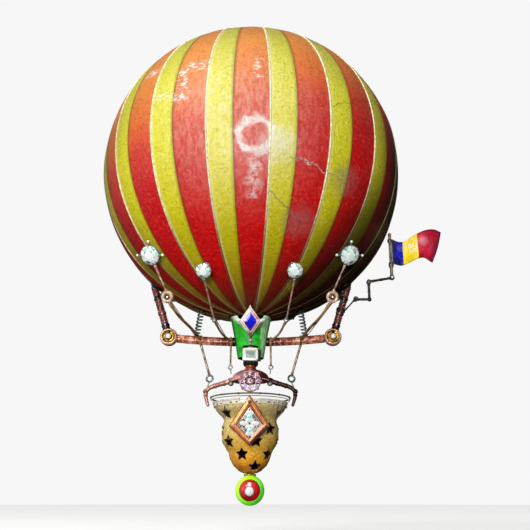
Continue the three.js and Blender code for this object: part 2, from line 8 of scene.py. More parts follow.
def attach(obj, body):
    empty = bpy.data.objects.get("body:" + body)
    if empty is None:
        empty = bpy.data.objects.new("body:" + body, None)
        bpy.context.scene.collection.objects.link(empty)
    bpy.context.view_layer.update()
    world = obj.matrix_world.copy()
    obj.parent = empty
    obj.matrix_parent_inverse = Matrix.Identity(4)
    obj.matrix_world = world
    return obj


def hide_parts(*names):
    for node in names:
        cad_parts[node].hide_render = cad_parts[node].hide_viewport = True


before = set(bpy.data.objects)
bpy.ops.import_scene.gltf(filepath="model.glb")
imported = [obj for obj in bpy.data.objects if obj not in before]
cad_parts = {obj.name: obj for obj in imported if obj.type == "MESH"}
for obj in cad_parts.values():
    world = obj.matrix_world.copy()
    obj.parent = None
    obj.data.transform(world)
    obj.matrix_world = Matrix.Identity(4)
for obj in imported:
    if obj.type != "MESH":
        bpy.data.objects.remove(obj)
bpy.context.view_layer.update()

scene = bpy.context.scene
front, above, still = Vector((0, -1, 0)), Vector((0, 0, 1)), Matrix()
sides = {"right": still, "left": Matrix.Diagonal((-1, 1, 1, 1))}


def linear(colour):
    # a triple is a screen colour, 0 to 255; a fourfold colour is linear already
    if len(colour) == 4:
        return colour
    return (*(c / 255 / 12.92 if c < 11 else ((c / 255 + 0.055) / 1.055) ** 2.4 for c in colour), 1.0)


def scaled(colour, share, lift=0.0):
    return (*(min(1.0, share * c + lift) for c in linear(colour)[:3]), 1.0)


def signs(operation):
    # what a sign such as + does, with the wire before or after it
    return (lambda self, other: self.bench.maths(operation, self, other),
            lambda self, other: self.bench.maths(operation, other, self))


class Wire:
    # a socket that can stand in a sum
    __add__, __radd__ = signs("ADD")
    __sub__, __rsub__ = signs("SUBTRACT")
    __mul__, __rmul__ = signs("MULTIPLY")
    __truediv__ = signs("DIVIDE")[0]
    __gt__ = signs("GREATER_THAN")[0]
    __lt__ = signs("LESS_THAN")[0]

    def __init__(self, bench, socket):
        self.bench = bench
        self.socket = socket

    def __neg__(self):
        return self * -1.0

    def __abs__(self):
        return self.bench.maths("ABSOLUTE", self)


class Bench:
    # a node tree, and the one way in which nodes are put into it
    def __init__(self, tree):
        self.tree = tree

    def node(self, kind, sockets=(), outlet=0, **settings):
        made = self.tree.nodes.new(kind)
        for key, value in settings.items():
            setattr(made, key, value)
        for key, value in dict(sockets).items():
            socket = made.inputs[key]
            if isinstance(value, Wire):
                self.tree.links.new(value.socket, socket)
            else:
                socket.default_value = linear(value) if socket.type == "RGBA" else value
        return Wire(self, made.outputs[outlet]) if len(made.outputs) else None

    def maths(self, operation, *values, clamp=False):
        return self.node("ShaderNodeMath", enumerate(values), operation=operation, use_clamp=clamp)

    def most(self, first, *others):
        for other in others:
            first = self.maths("MAXIMUM", first, other)
        return first

    def vectors(self, operation, *values, outlet=0):
        return self.node("ShaderNodeVectorMath", enumerate(values), outlet, operation=operation)

    def stretch(self, vector, share):
        return self.node("ShaderNodeVectorMath", {0: vector, "Scale": share}, operation="SCALE")

    def fit(self, value, low, high, to=0.0, end=1.0):
        # low..high becomes to..end, eased and held at both ends
        values = {"Value": value, "From Min": low, "From Max": high, "To Min": to, "To Max": end}
        return self.node("ShaderNodeMapRange", values, interpolation_type="SMOOTHSTEP")


class Paint(Bench):
    # one material: patterns read the object's own coordinates
    names = {"metallic": "Metallic", "coat": "Coat Weight", "coatRoughness": "Coat Roughness", "glint": "Specular IOR Level"}

    def __init__(self, name):
        self.material = bpy.data.materials.new(name)
        self.material.use_nodes = True
        super().__init__(self.material.node_tree)
        self.tree.nodes.clear()
        self.place = self.node("ShaderNodeTexCoord", outlet="Object")

    def axis(self, letter):
        return self.node("ShaderNodeSeparateXYZ", {"Vector": self.place}, letter)

    def squeezed(self, *shares):
        return self.vectors("MULTIPLY", self.place, shares)

    def grain(self, scale, detail=3.0, roughness=0.55, where=None, distortion=0.0, outlet=0):
        values = {"Vector": where or self.place, "Scale": scale, "Detail": detail, "Roughness": roughness,
                  "Distortion": distortion}
        return self.node("ShaderNodeTexNoise", values, outlet)

    def cells(self, scale, feature="F1", where=None):
        return self.node("ShaderNodeTexVoronoi", {"Vector": where or self.place, "Scale": scale}, "Distance", feature=feature)

    def share(self, name):
        return self.node("ShaderNodeAttribute", outlet="Fac", attribute_name=name)

    def mix(self, factor, first, second):
        return self.node("ShaderNodeMix", {0: factor, 6: first, 7: second}, 2, data_type="RGBA")

    def ramp(self, factor, stops):
        made = self.node("ShaderNodeValToRGB", {"Fac": factor})
        marks = made.socket.node.color_ramp.elements
        marks.remove(marks[1])
        for number, (place, colour) in enumerate(stops.items()):
            mark = marks.new(place) if number else marks[0]
            mark.position = place
            mark.color = linear(colour)
        return made

    def spot(self, centre, radius, soft, where=None):
        # 1 inside a ball, 0 outside it
        away = self.vectors("DISTANCE", where or self.place, centre, outlet="Value")
        return self.fit(away, radius - soft, radius + soft, 1.0, 0.0)

    def stroke(self, start, end, width, soft, where, radius):
        # 1 near the arc from start to end on a ball of that radius
        along = Vector(end) - Vector(start)
        reach = self.vectors("DOT_PRODUCT", self.vectors("SUBTRACT", where, start), tuple(along), outlet="Value")
        chord = self.stretch(tuple(along), self.maths("MULTIPLY", reach, 1 / along.length_squared, clamp=True))
        nearest = self.stretch(self.vectors("NORMALIZE", self.vectors("ADD", chord, start)), radius)
        return self.fit(self.vectors("DISTANCE", where, nearest, outlet="Value"), width - soft, width + soft, 1.0, 0.0)

    def finish(self, colour, roughness, height=None, deep=0.0, strength=0.6, glow=0.0, **others):
        sockets = {"Base Color": colour, "Roughness": roughness}
        if height:
            sockets["Normal"] = self.node("ShaderNodeBump", {"Height": height, "Distance": deep, "Strength": strength})
        if glow:
            sockets.update({"Emission Color": colour, "Emission Strength": glow})
        sockets.update({self.names[key]: value for key, value in others.items()})
        shader = self.node("ShaderNodeBsdfPrincipled", sockets)
        self.node("ShaderNodeOutputMaterial", {"Surface": shader})
        return self.material


class Recipe(Bench):
    # a geometry tree with named inputs for its sizes
    def __init__(self, name):
        super().__init__(bpy.data.node_groups.new(name, "GeometryNodeTree"))
        self.tree.interface.new_socket("Geometry", in_out="OUTPUT", socket_type="NodeSocketGeometry")
        self.keys = {}
        self.finish, = self.inputs("Finish", "Material")

    def inputs(self, labels, kind="Float"):
        # new inputs, each as a wire
        for label in labels.split():
            made = self.tree.interface.new_socket(label, in_out="INPUT", socket_type="NodeSocket" + kind)
            self.keys[label] = made.identifier
        return [self.node("NodeGroupInput", outlet=label) for label in labels.split()]

    def vector(self, x=0.0, y=0.0, z=0.0):
        return self.node("ShaderNodeCombineXYZ", {"X": x, "Y": y, "Z": z})

    def count(self):
        return self.node("GeometryNodeInputIndex")

    def circle(self, radius, steps):
        return self.node("GeometryNodeCurvePrimitiveCircle", {"Resolution": steps, "Radius": radius}, "Curve", mode="RADIUS")

    def tube(self, path, section):
        return self.node("GeometryNodeCurveToMesh", {"Curve": path, "Profile Curve": section, "Fill Caps": True})

    def dome(self, size, segments, rings):
        return self.node("GeometryNodeMeshUVSphere", {"Segments": segments, "Rings": rings, "Radius": size}, "Mesh")

    def moved(self, shape, **values):
        return self.node("GeometryNodeTransform", {"Geometry": shape, **values})

    def line(self, count, where=None):
        # points in one place, or each at its own
        points = self.node("GeometryNodeMeshLine", {"Count": count, "Offset": (0.0, 0.0, 0.0)})
        return self.node("GeometryNodeSetPosition", {"Geometry": points, "Position": where}) if where else points

    def stand(self, points, shape, **values):
        return self.node("GeometryNodeInstanceOnPoints", {"Points": points, "Instance": shape, **values})

    def around(self, shape, count, turn=0.0):
        # copies spread evenly about Z
        spin = self.count() * 2 * math.pi / count + turn
        return self.stand(self.line(count), shape, Rotation=self.vector(z=spin))

    def serve(self, shape):
        real = self.node("GeometryNodeRealizeInstances", {"Geometry": shape})
        done = self.node("GeometryNodeSetMaterial", {"Geometry": real, "Material": self.finish})
        self.node("NodeGroupOutput", {"Geometry": done})
        return self

    def make(self, name, finish, **values):
        # the evaluated result as a plain mesh
        holder = bpy.data.objects.new(name + "_holder", bpy.data.meshes.new(name + "_holder"))
        scene.collection.objects.link(holder)
        modifier = holder.modifiers.new("recipe", "NODES")
        modifier.node_group = self.tree
        for label, value in {"Finish": finish, **values}.items():
            modifier[self.keys[label]] = value
        mesh = evaluated(holder)
        holder.modifiers.remove(modifier)
        bpy.data.objects.remove(holder)
        mesh.name = name
        return mesh


def evaluated(shape):
    bpy.context.view_layer.update()
    return bpy.data.meshes.new_from_object(shape.evaluated_get(bpy.context.evaluated_depsgraph_get()))


def merge(mesh, dissolve=True):
    # merges doubles and turns faces outwards
    bm = bmesh.new()
    bm.from_mesh(mesh)
    bmesh.ops.remove_doubles(bm, verts=bm.verts, dist=2e-5)
    if dissolve:
        bmesh.ops.dissolve_degenerate(bm, edges=bm.edges, dist=1e-6)
    bmesh.ops.recalc_face_normals(bm, faces=bm.faces)
    bm.to_mesh(mesh)
    bm.free()
    return mesh


def shown(name, mesh):
    made = bpy.data.objects.new(name, mesh)
    scene.collection.objects.link(made)
    return made


def settle(mesh, name, stands="", soft=32.0, body="balloon"):
    # cleans a mesh, marks its sharp edges and hangs the piece on its body
    merge(mesh)
    if soft:
        mesh.polygons.foreach_set("use_smooth", [True] * len(mesh.polygons))
        mesh.set_sharp_from_angle(angle=math.radians(soft))
    piece = shown(name, mesh)
    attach(piece, body)
    if stands:
        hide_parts(stands)


def frameAlong(foot, way, spin=0.0):
    # a place whose Z runs along a direction
    turn = Vector(way).normalized().to_track_quat("Z", "Y").to_matrix().to_4x4()
    return Matrix.Translation(Vector(foot)) @ turn @ Matrix.Rotation(spin, 4, "Z")


def roundabout(count, shift=0.0):
    # the cosine and sine of even steps round a circle
    angles = [2 * math.pi * (n + shift) / count for n in range(count)]
    return [(math.cos(a), math.sin(a)) for a in angles]


def straight(start, end, steps):
    return [Vector(start).lerp(Vector(end), n / steps) for n in range(steps + 1)]


def swelling(base, *swells, fall=0.0):
    # a thickness along a path: each swell is (height, place, reach)
    return lambda s: base - fall * s + sum(high * math.exp(-((s - at) / wide) ** 2) for high, at, wide in swells)


def flowing(points, steps):
    # a smooth path through points, timed by their distances
    points = [Vector(p) for p in points]
    points = [2 * points[0] - points[1]] + points + [2 * points[-1] - points[-2]]
    spans = len(points) - 3
    path = []
    for step in range(steps + 1):
        place = min(step / steps * spans, spans - 1e-9)
        first = int(place)
        level = points[first:first + 4]
        times = [0.0]
        for a, b in zip(level, level[1:]):
            times.append(times[-1] + (b - a).length ** 0.5)
        t = times[1] + (times[2] - times[1]) * (place - first)
        # four points become three, then two, then one
        for ends in (((0, 1), (1, 2), (2, 3)), ((0, 2), (1, 3)), ((1, 2),)):
            level = [a.lerp(b, (t - times[i]) / (times[j] - times[i])) for (i, j), a, b in zip(ends, level, level[1:])]
        path.append(level[0])
    return path


def rounded(profile, radius, steps=3, closed=False):
    # a profile with its corners eased
    corners = [Vector(p) for p in profile]
    count = len(corners)
    eased = []
    for number, corner in enumerate(corners):
        before = corners[number - 1] - corner
        after = corners[(number + 1) % count] - corner
        reach = min(radius, before.length * 0.45, after.length * 0.45)
        if reach < 1e-6 or (not closed and number in (0, count - 1)):
            eased.append(tuple(corner))
            continue
        start = corner + before.normalized() * reach
        end = corner + after.normalized() * reach
        for step in range(steps + 1):
            t = step / steps
            eased.append(tuple(start * (1 - t) ** 2 + corner * 2 * t * (1 - t) + end * t * t))
    return eased


def chosen(value, *places):
    # one value for all faces, or lists of them by span and then by corner
    for place in places:
        if isinstance(value, (list, tuple)):
            value = value[place % len(value)]
    return value


class Form:
    # closed shapes gathered into one mesh: each face has a finish and a tone from 0 to 1
    def __init__(self):
        self.points, self.faces, self.finishes, self.tones = [], [], [], []

    def put(self, points, faces, finishes, tones):
        first = len(self.points)
        self.points.extend(Vector(p) for p in points)
        self.faces += [[first + corner for corner in face] for face in faces]
        self.finishes += finishes
        self.tones += tones

    def placed(self, place):
        # a copy, moved or mirrored
        made = Form()
        made.put([place @ p for p in self.points], self.faces, self.finishes, self.tones)
        return made

    def take(self, other, place=still):
        self.put([place @ p for p in other.points], other.faces, other.finishes, other.tones)

    def skin(self, rings, finish=0, closed=False, caps=False, tones=0.5):
        # faces between like rings of points
        count, rows = len(rings[0]), len(rings)
        faces, finishes, shades = [], [], []
        for ring in range(rows if closed else rows - 1):
            a, b = ring * count, (ring + 1) % rows * count
            for step in range(count):
                side = (step + 1) % count
                faces.append([a + step, a + side, b + side, b + step])
                finishes.append(chosen(finish, ring, step))
                shades.append(chosen(tones, ring, step))
        if caps:
            faces += [list(range(count))[::-1], list(range((rows - 1) * count, rows * count))]
            finishes += [chosen(finish, 0, 0)] * 2
            shades += [0.75, 0.5]
        self.put([p for ring in rings for p in ring], faces, finishes, shades)

    def panel(self, rows, columns, point):
        # a thin sheet: two grids of points, and faces round their edge
        count = columns + 1
        at = lambda n, k, side: (side * (rows + 1) + n) * count + k
        points = [point(n, k, side) for side in (0, 1) for n in range(rows + 1) for k in range(count)]
        faces = [[at(n, k, side), at(n, k + 1, side), at(n + 1, k + 1, side), at(n + 1, k, side)]
                 for side in (0, 1) for n in range(rows) for k in range(columns)]
        faces += [[at(n, k, 0), at(n + 1, k, 0), at(n + 1, k, 1), at(n, k, 1)] for k in (0, columns) for n in range(rows)]
        faces += [[at(n, k, 0), at(n, k + 1, 0), at(n, k + 1, 1), at(n, k, 1)] for n in (0, rows) for k in range(columns)]
        self.put(points, faces, [0] * len(faces), [0.5] * len(faces))

    def turn(self, profile, steps=48, foot=(0, 0, 0), way=(0, 0, 1), finish=0, swell=None):
        # (radius, height) pairs turned about a line; a profile that ends off the line closes on itself
        place = frameAlong(foot, way)
        rings = []
        for radius, height in profile:
            ring = []
            for number, (c, s) in enumerate(roundabout(steps)):
                r = radius * (swell(2 * math.pi * number / steps, radius, height) if swell else 1.0)
                ring.append(place @ Vector((r * c, r * s, height)))
            rings.append(ring)
        self.skin(rings, finish, closed=max(profile[0][0], profile[-1][0]) >= 1e-6)

    def ease(self, profile, reach, steps, foot=(0, 0, 0), way=(0, 0, 1), finish=0, bends=2, closed=False):
        # the same, with eased corners
        self.turn(rounded(profile, reach, bends, closed), steps, foot, way, finish)

    def ball(self, centre, radius, steps=20, finish=0, squeeze=1.0, way=(0, 0, 1)):
        rows = max(6, steps // 2)
        angles = [math.pi * n / rows for n in range(rows + 1)]
        profile = [(radius * math.sin(a), -radius * squeeze * math.cos(a)) for a in angles]
        profile[0], profile[-1] = (0.0, -radius * squeeze), (0.0, radius * squeeze)
        self.turn(profile, steps, centre, way, finish)

    def ring(self, centre, radius, thick, way=(0, 0, 1), steps=40, sides=12, finish=0):
        self.turn([(radius + thick * c, thick * s) for c, s in roundabout(sides)], steps, centre, way, finish)

    def rod(self, start, end, radius, steps=16, finish=0, ease=0.0):
        way = Vector(end) - Vector(start)
        profile = [(0.0, 0.0), (radius, 0.0), (radius, way.length), (0.0, way.length)]
        self.turn(rounded(profile, ease) if ease else profile, steps, start, way, finish)

    def loop(self, path, radius, sides=6, finish=0):
        # a thin tube round a closed path
        middle = sum(path, Vector()) / len(path)
        rings = []
        for number, point in enumerate(path):
            ahead = (path[(number + 1) % len(path)] - path[number - 1]).normalized()
            side = (point - middle).cross(ahead).normalized()
            rise = ahead.cross(side)
            rings.append([point + side * (radius * c) + rise * (radius * s) for c, s in roundabout(sides)])
        self.skin(rings, finish, closed=True)

    def sweep(self, path, radius, sides=12, finish=0, squeeze=1.0):
        # a tube along a path with round ends; radius may be a function of the share of the way
        path = [Vector(p) for p in path]
        lengths = [0.0]
        for a, b in zip(path, path[1:]):
            lengths.append(lengths[-1] + (b - a).length)
        spine, side = [], None
        for number, point in enumerate(path):
            ahead = (path[min(number + 1, len(path) - 1)] - path[max(number - 1, 0)]).normalized()
            if side is None:
                side = -front.cross(ahead)
                if side.length < 1e-4:
                    side = Vector((1, 0, 0)).cross(ahead)
            side = (side - ahead * side.dot(ahead)).normalized()
            size = radius(lengths[number] / lengths[-1]) if callable(radius) else radius
            spine.append((point, side, ahead, size))
        for number, flip in ((0, -1), (-1, 1)):
            point, side, ahead, size = spine[number]
            cap = [(point + flip * ahead * size * (1 - c * c) ** 0.5 * 0.6, side, ahead, size * c)
                   for c in (0.35, 0.75, 0.95)]
            spine = cap + spine if flip < 0 else spine + cap[::-1]
        rings = []
        for point, side, ahead, size in spine:
            rise = ahead.cross(side)
            rings.append([point + side * (size * c) + rise * (size * squeeze * s) for c, s in roundabout(sides)])
        self.skin(rings, finish, caps=True)

    def mould(self, outer, inner, section, place=still, finish=0):
        # a mitred frame: a closed section of (share from outer to inner, depth) carried round two like outlines
        rings = [[place @ Vector((a[0] * (1 - t) + b[0] * t, y, a[1] * (1 - t) + b[1] * t)) for a, b in zip(outer, inner)]
                 for t, y in section]
        self.skin(rings, finish, closed=True)

    def cut(self, outline, steps, place=still, finish=0, tones=0.5):
        # a flat stone or plate: the outline at each (share of its size, depth), closed at both ends
        cx, cz = (sum(p[k] for p in outline) / len(outline) for k in (0, 1))
        rings = [[place @ Vector((cx + (x - cx) * t, y, cz + (z - cz) * t)) for x, z in outline] for t, y in steps]
        self.skin(rings, finish, caps=True, tones=tones)

    def slab(self, outline, near, far, chamfer=0.0, place=still, finish=0):
        # a plate with eased edges, near and far along Y
        cx, cz = (sum(p[k] for p in outline) / len(outline) for k in (0, 1))
        small = 1 - chamfer / max(math.hypot(x - cx, z - cz) for x, z in outline) * 1.4
        eased = [(small, near), (1.0, near + chamfer), (1.0, far - chamfer), (small, far)]
        self.cut(outline, eased if chamfer else [(1.0, near), (1.0, far)], place, finish)

    def brilliant(self, centre, way, radius, high, deep, finish=0, spin=0.0):
        # a round stone of eight folds with table, star, main and girdle facets
        place = frameAlong(centre, way, spin)
        folds, table = 8, 0.5
        half = math.pi / folds
        at = lambda r, a, h: place @ Vector((r * radius * math.cos(a), r * radius * math.sin(a), h))
        points = [at(table, 2 * half * k, high) for k in range(folds)]
        points += [at(table * 1.42, 2 * half * k + half, high * 0.62) for k in range(folds)]
        points += [at(1.0, half * k, high * 0.12) for k in range(2 * folds)]
        points += [at(1.0, half * k, -high * 0.1) for k in range(2 * folds)]
        points += [at(0.0, 0.0, -deep)]
        star, girdle, under, tip = folds, 2 * folds, 4 * folds, 6 * folds
        faces = [list(range(folds))]
        for k in range(folds):
            low = girdle + 2 * k
            faces += [[k, star + k, (k + 1) % folds], [k, star + (k - 1) % folds, low, star + k],
                      [star + k, low, low + 1], [star + k, low + 1, girdle + (2 * k + 2) % (2 * folds)]]
        for k in range(2 * folds):
            after = (k + 1) % (2 * folds)
            faces += [[girdle + k, under + k, under + after, girdle + after], [under + k, tip, under + after]]
        tones = [0.7] + [(math.sin((number + 1) * 12.9898) * 43758.5453) % 1.0 for number in range(1, len(faces))]
        self.put(points, faces, [finish] * len(faces), tones)

    def mesh(self, name, *materials):
        made = bpy.data.meshes.new(name)
        made.from_pydata([tuple(p) for p in self.points], [], self.faces)
        for material in materials:
            made.materials.append(material)
        made.polygons.foreach_set("material_index", self.finishes)
        made.attributes.new("tone", "FLOAT", "FACE").data.foreach_set("value", self.tones)
        return made

    def piece(self, name, slot, stands, *materials, soft=32.0, body="balloon"):
        settle(self.mesh(name, *materials), name, stands, soft, body)

    def pair(self, name, slot, stands, *materials, soft=32.0):
        # a piece on the right, and its mirror image on the left
        for side, mirror in sides.items():
            self.placed(mirror).piece(f"{name}_{side}", slot, stands and f"{stands}_{side}", *materials, soft=soft)

    def pierced(self, name, materials, *cutters):
        # this form with others cut out of it
        shape = shown(name, merge(self.mesh(name, *materials), False))
        for cutter in cutters:
            tool = shown("cutter", merge(cutter.mesh("cutter"), False))
            cut = shape.modifiers.new("cut", "BOOLEAN")
            cut.operation = "DIFFERENCE"
            cut.solver = "EXACT"
            cut.object = tool
            mesh = evaluated(shape)
            shape.modifiers.remove(cut)
            shape.data = mesh
            bpy.data.objects.remove(tool)
        bpy.data.objects.remove(shape)
        return mesh


print("camera, floor and light")
studio = {"eye": (0.55, -27.19, -12.68), "tilt": 18.08, "lens": 48.446, "floor": -14.2, "floorReach": 160.0,
          "aim": Vector((0, 0, -2.0)), "sky": 0.93, "skyway": Vector((-0.55, -0.45, 0.70)),
          "lights": {"key": ((-7.0, -58.0, -8.0), 35500.0, 26.0), "side": ((-50.0, -6.0, -2.0), 1500.0, 24.0),
                     "top": ((-26.0, -34.0, 34.0), 12000.0, 22.0)}}


def setStudio():
    eye = bpy.data.cameras.new("camera")
    eye.lens = studio["lens"]
    eye.sensor_width = 36.0
    eye.clip_end = 500.0
    eye.dof.use_dof = False
    scene.camera = shown("camera", eye)
    scene.camera.location = studio["eye"]
    scene.camera.rotation_euler = (math.radians(90 + studio["tilt"]), 0, 0)

    floor = Form()
    reach, z = studio["floorReach"], studio["floor"]
    floor.turn([(0, z), (reach, z), (reach, z - 0.05), (0, z - 0.05)], 64)
    paint = Paint("floor")
    colour = paint.ramp(paint.grain(0.4), {0.3: (0.80, 0.80, 0.79, 1.0), 0.7: (0.84, 0.84, 0.83, 1.0)})
    ground = shown("floor", floor.mesh("floor", paint.finish(colour, 0.85, glow=0.62)))
    # a pale floor throws no light up, so the under sides stay dark as in the photo
    ground.visible_diffuse = False
    ground.visible_glossy = False

    for name, (place, power, size) in studio["lights"].items():
        lamp = bpy.data.lights.new(name, "AREA")
        lamp.shape = "DISK"
        lamp.size = size
        lamp.energy = power
        light = shown(name, lamp)
        light.location = place
        light.rotation_euler = (studio["aim"] - Vector(place)).to_track_quat("-Z", "Y").to_euler()

    scene.world = bpy.data.worlds.new("studio")
    scene.world.use_nodes = True
    sky = Bench(scene.world.node_tree)
    sky.tree.nodes.clear()
    way = sky.node("ShaderNodeTexCoord", outlet="Generated")
    facing = sky.vectors("DOT_PRODUCT", way, tuple(studio["skyway"].normalized()), outlet="Value")
    seen = sky.node("ShaderNodeLightPath", outlet="Is Camera Ray")
    power = seen * studio["sky"] + (1 - seen) * sky.fit(facing, -0.7, 1.0, 0.02, 0.5)
    shine = sky.node("ShaderNodeBackground", {"Color": (255, 255, 255), "Strength": power})
    sky.node("ShaderNodeOutputWorld", {"Surface": shine})
    scene.view_settings.view_transform = "Standard"


setStudio()

print("finishes")


def metal(name, light, dark, roughness=0.28, mottle=3.0, fleck=None, metallic=0.6):
    # cast or drawn metal: two tones in soft clouds, small flecks, fine scratches in the gloss
    paint = Paint(name)
    cloud = paint.fit(paint.grain(mottle, 4.0), 0.35, 0.65)
    fine = paint.grain(mottle * 16, 2.0)
    colour = paint.mix(cloud, dark, light)
    colour = paint.mix(paint.fit(fine, 0.45, 0.75) * 0.35, colour, scaled(dark, 0.55))
    height = fine * 0.6 + cloud * 0.4
    if fleck:
        dots = paint.fit(paint.cells(11.0), 0.252, 0.36, 1.0, 0.0)
        colour = paint.mix(dots * paint.fit(paint.grain(3.85), 0.4, 0.6), colour, fleck)
        height = height + dots * 0.8
    gloss = roughness + 0.22 * paint.fit(fine, 0.3, 0.8) - 0.08 * cloud
    return paint.finish(colour, gloss, height, 0.0015, metallic=metallic)


def enamel(name, light, dark, roughness=0.16, mottle=2.2, coat=0.8, glint=0.5):
    # fired enamel or lacquer: clouded colour under a clear coat, tiny pits
    paint = Paint(name)
    cloud = paint.fit(paint.grain(mottle, 4.0, distortion=0.6), 0.32, 0.68)
    fine = paint.grain(26.0, 3.0)
    colour = paint.mix(cloud, dark, light)
    colour = paint.mix(paint.fit(fine, 0.55, 0.8) * 0.3, colour, scaled(light, 1.5, 0.06))
    gloss = roughness + 0.25 * paint.fit(fine, 0.4, 0.8)
    return paint.finish(colour, gloss, fine, 0.0012, 0.5, glint=glint, coat=coat, coatRoughness=0.06)


def stone(name, stops, glow=0.0, veins=0.35, roughness=0.06):
    # a cut stone: each facet has its own tone, standing for a painted reflection, with cloudy veins inside; the glow is
    # painted light that keeps it bright in shade
    paint = Paint(name)
    cloud = paint.grain(5.0, 4.0, distortion=1.2)
    colour = paint.ramp(paint.share("tone") + veins * (cloud - 0.5), stops)
    return paint.finish(colour, roughness + 0.1 * cloud, glow=glow, coat=1.0, coatRoughness=0.03, glint=0.8)


silver = metal("silver_claws", (214, 216, 212), (112, 114, 116), 0.22)
gilt = metal("gilt_rings", (226, 176, 84), (138, 88, 28), 0.24)
shadedBrass = metal("dark_brass", (112, 78, 34), (52, 30, 12), 0.34, 5.0, metallic=0.4)
oldGold = metal("old_gold", (206, 176, 62), (120, 88, 18), 0.26, 6.0)
roseGilt = metal("rose_gilt", (246, 208, 192), (196, 136, 118), 0.3, metallic=0.4)
palePink = metal("pale_pink", (250, 216, 206), (214, 162, 150), 0.34, 8.0, metallic=0.15)
eyeletCream = metal("eyelet_cream", (232, 208, 178), (156, 126, 98), 0.38, 7.0, metallic=0.15)
brassWire = metal("brass_rod", (190, 152, 92), (104, 74, 34), 0.32, metallic=0.35)
paleWire = metal("pale_wire", (216, 184, 166), (134, 102, 86), 0.36, 9.0, metallic=0.2)
redCopper = metal("red_copper", (206, 104, 72), (104, 40, 30), 0.28, 4.0)
bronze = metal("speckled_bronze", (132, 76, 72), (44, 18, 20), 0.32, 5.0, (220, 150, 132))
roseBronze = metal("rose_bronze", (206, 142, 124), (112, 62, 52), 0.32, 5.0, (240, 196, 180))
blackSteel = metal("black_steel", (54, 52, 52), (14, 13, 13), 0.26)
greySteel = metal("grey_steel", (134, 126, 116), (60, 54, 48), 0.3)
plumSteel = metal("plum_steel", (96, 74, 96), (34, 20, 32), 0.26, 6.0)
ringSteel = metal("ring_steel", (134, 150, 146), (44, 60, 56), 0.3, 7.0)
rodBrown = metal("rod_brown", (178, 152, 124), (96, 76, 58), 0.34, 6.0, metallic=0.3)
oliveSteel = metal("olive_steel", (128, 126, 64), (60, 58, 24), 0.36, 5.0)
armBrown = metal("arm_brown", (66, 54, 44), (16, 12, 10), 0.34, 5.0)
poleBrown = metal("pole_brown", (166, 144, 124), (82, 68, 58), 0.34, 5.0, metallic=0.3)
lilacSilver = metal("lilac_silver", (224, 196, 214), (146, 112, 136), 0.32, 9.0, metallic=0.3)
duskyRose = metal("dusky_rose", (170, 108, 100), (96, 52, 50), 0.34, 6.0, metallic=0.4)
duskyPink = metal("dusky_pink", (214, 176, 184), (140, 100, 112), 0.34, 8.0, metallic=0.25)
creamMetal = metal("cream_band", (252, 246, 230), (214, 202, 178), 0.38, 4.0, metallic=0.15)
clearStone = stone("clear_stone", {0.0: (96, 110, 106), 0.16: (166, 190, 182), 0.34: (226, 238, 232), 0.66: (250, 252, 248),
                                   0.86: (196, 234, 222), 1.0: (120, 204, 188)}, 0.06)
aquaStone = stone("aqua_stone", {0.0: (74, 150, 140), 0.5: (116, 206, 190), 1.0: (204, 242, 234)}, 0.05)
milkStone = stone("milk_stone", {0.0: (120, 126, 112), 0.5: (184, 188, 172), 1.0: (206, 210, 194)}, 0.0, 0.3, 0.3)
paleStone = stone("pale_stone", {0.0: (132, 144, 140), 0.4: (204, 212, 206), 0.7: (244, 246, 242), 1.0: (218, 212, 200)},
                  0.0, 0.5)
blueStone = stone("blue_stone", {0.0: (2, 2, 70), 0.3: (4, 4, 176), 0.6: (10, 12, 244), 0.8: (70, 76, 255),
                                 0.92: (196, 176, 250), 1.0: (248, 246, 255)}, 0.14, 0.18)
whiteStone = stone("white_stone", {0.0: (176, 180, 184), 0.5: (238, 238, 240), 1.0: (255, 255, 255)}, 0.06)
greyViolet = stone("grey_violet", {0.0: (80, 80, 110), 0.5: (150, 148, 178), 1.0: (214, 212, 230)}, 0.05, 0.6)
slateStone = stone("slate_stone", {0.0: (60, 66, 62), 0.5: (116, 130, 122), 1.0: (186, 196, 186)}, 0.0, 0.6)
paleEnamel = enamel("pale_enamel", (226, 250, 218), (150, 214, 150), 0.2, 6.0)
slateGlass = enamel("slate_glass", (176, 192, 184), (118, 134, 126), 0.4, 3.5, coat=0.0, glint=0.2)
darkEnamel = enamel("dark_enamel", (20, 44, 26), (6, 14, 8), 0.5, coat=0.0, glint=0.12)
redEnamel = enamel("red_enamel", (226, 12, 20), (150, 2, 10), coat=1.0)
darkPlum = enamel("plum_lining", (44, 14, 34), (18, 4, 16), 0.5, coat=0.1)

print("envelope")
envelope = {"radius": 6.0, "thickness": 0.010, "mouth": 0.62, "crown": 0.30, "gores": 17, "redDegrees": 12.2, "turn": 1.0,
            "redSteps": 10, "yellowSteps": 8, "rows": 104, "bulge": 0.016, "cord": 0.031, "seamCord": 0.006,
            "cordMouth": 0.80, "cordCrown": 0.42,
            # runs of white flecks: start, end, width
            "flecks": (((-2.1, -5.32, 1.84), (-1.49, -5.53, 1.78), 0.2), ((-2.4, -5.27, 1.6), (-2.3, -5.51, 0.6), 0.2),
                       ((-3.3, -4.9, 0.9), (-2.65, -5.35, 0.59), 0.14), ((-3.8, -4.0, 2.4), (-3.4, -4.4, 2.2), 0.14),
                       ((0.29, -5.73, 1.76), (0.34, -5.89, 1.1), 0.1))}


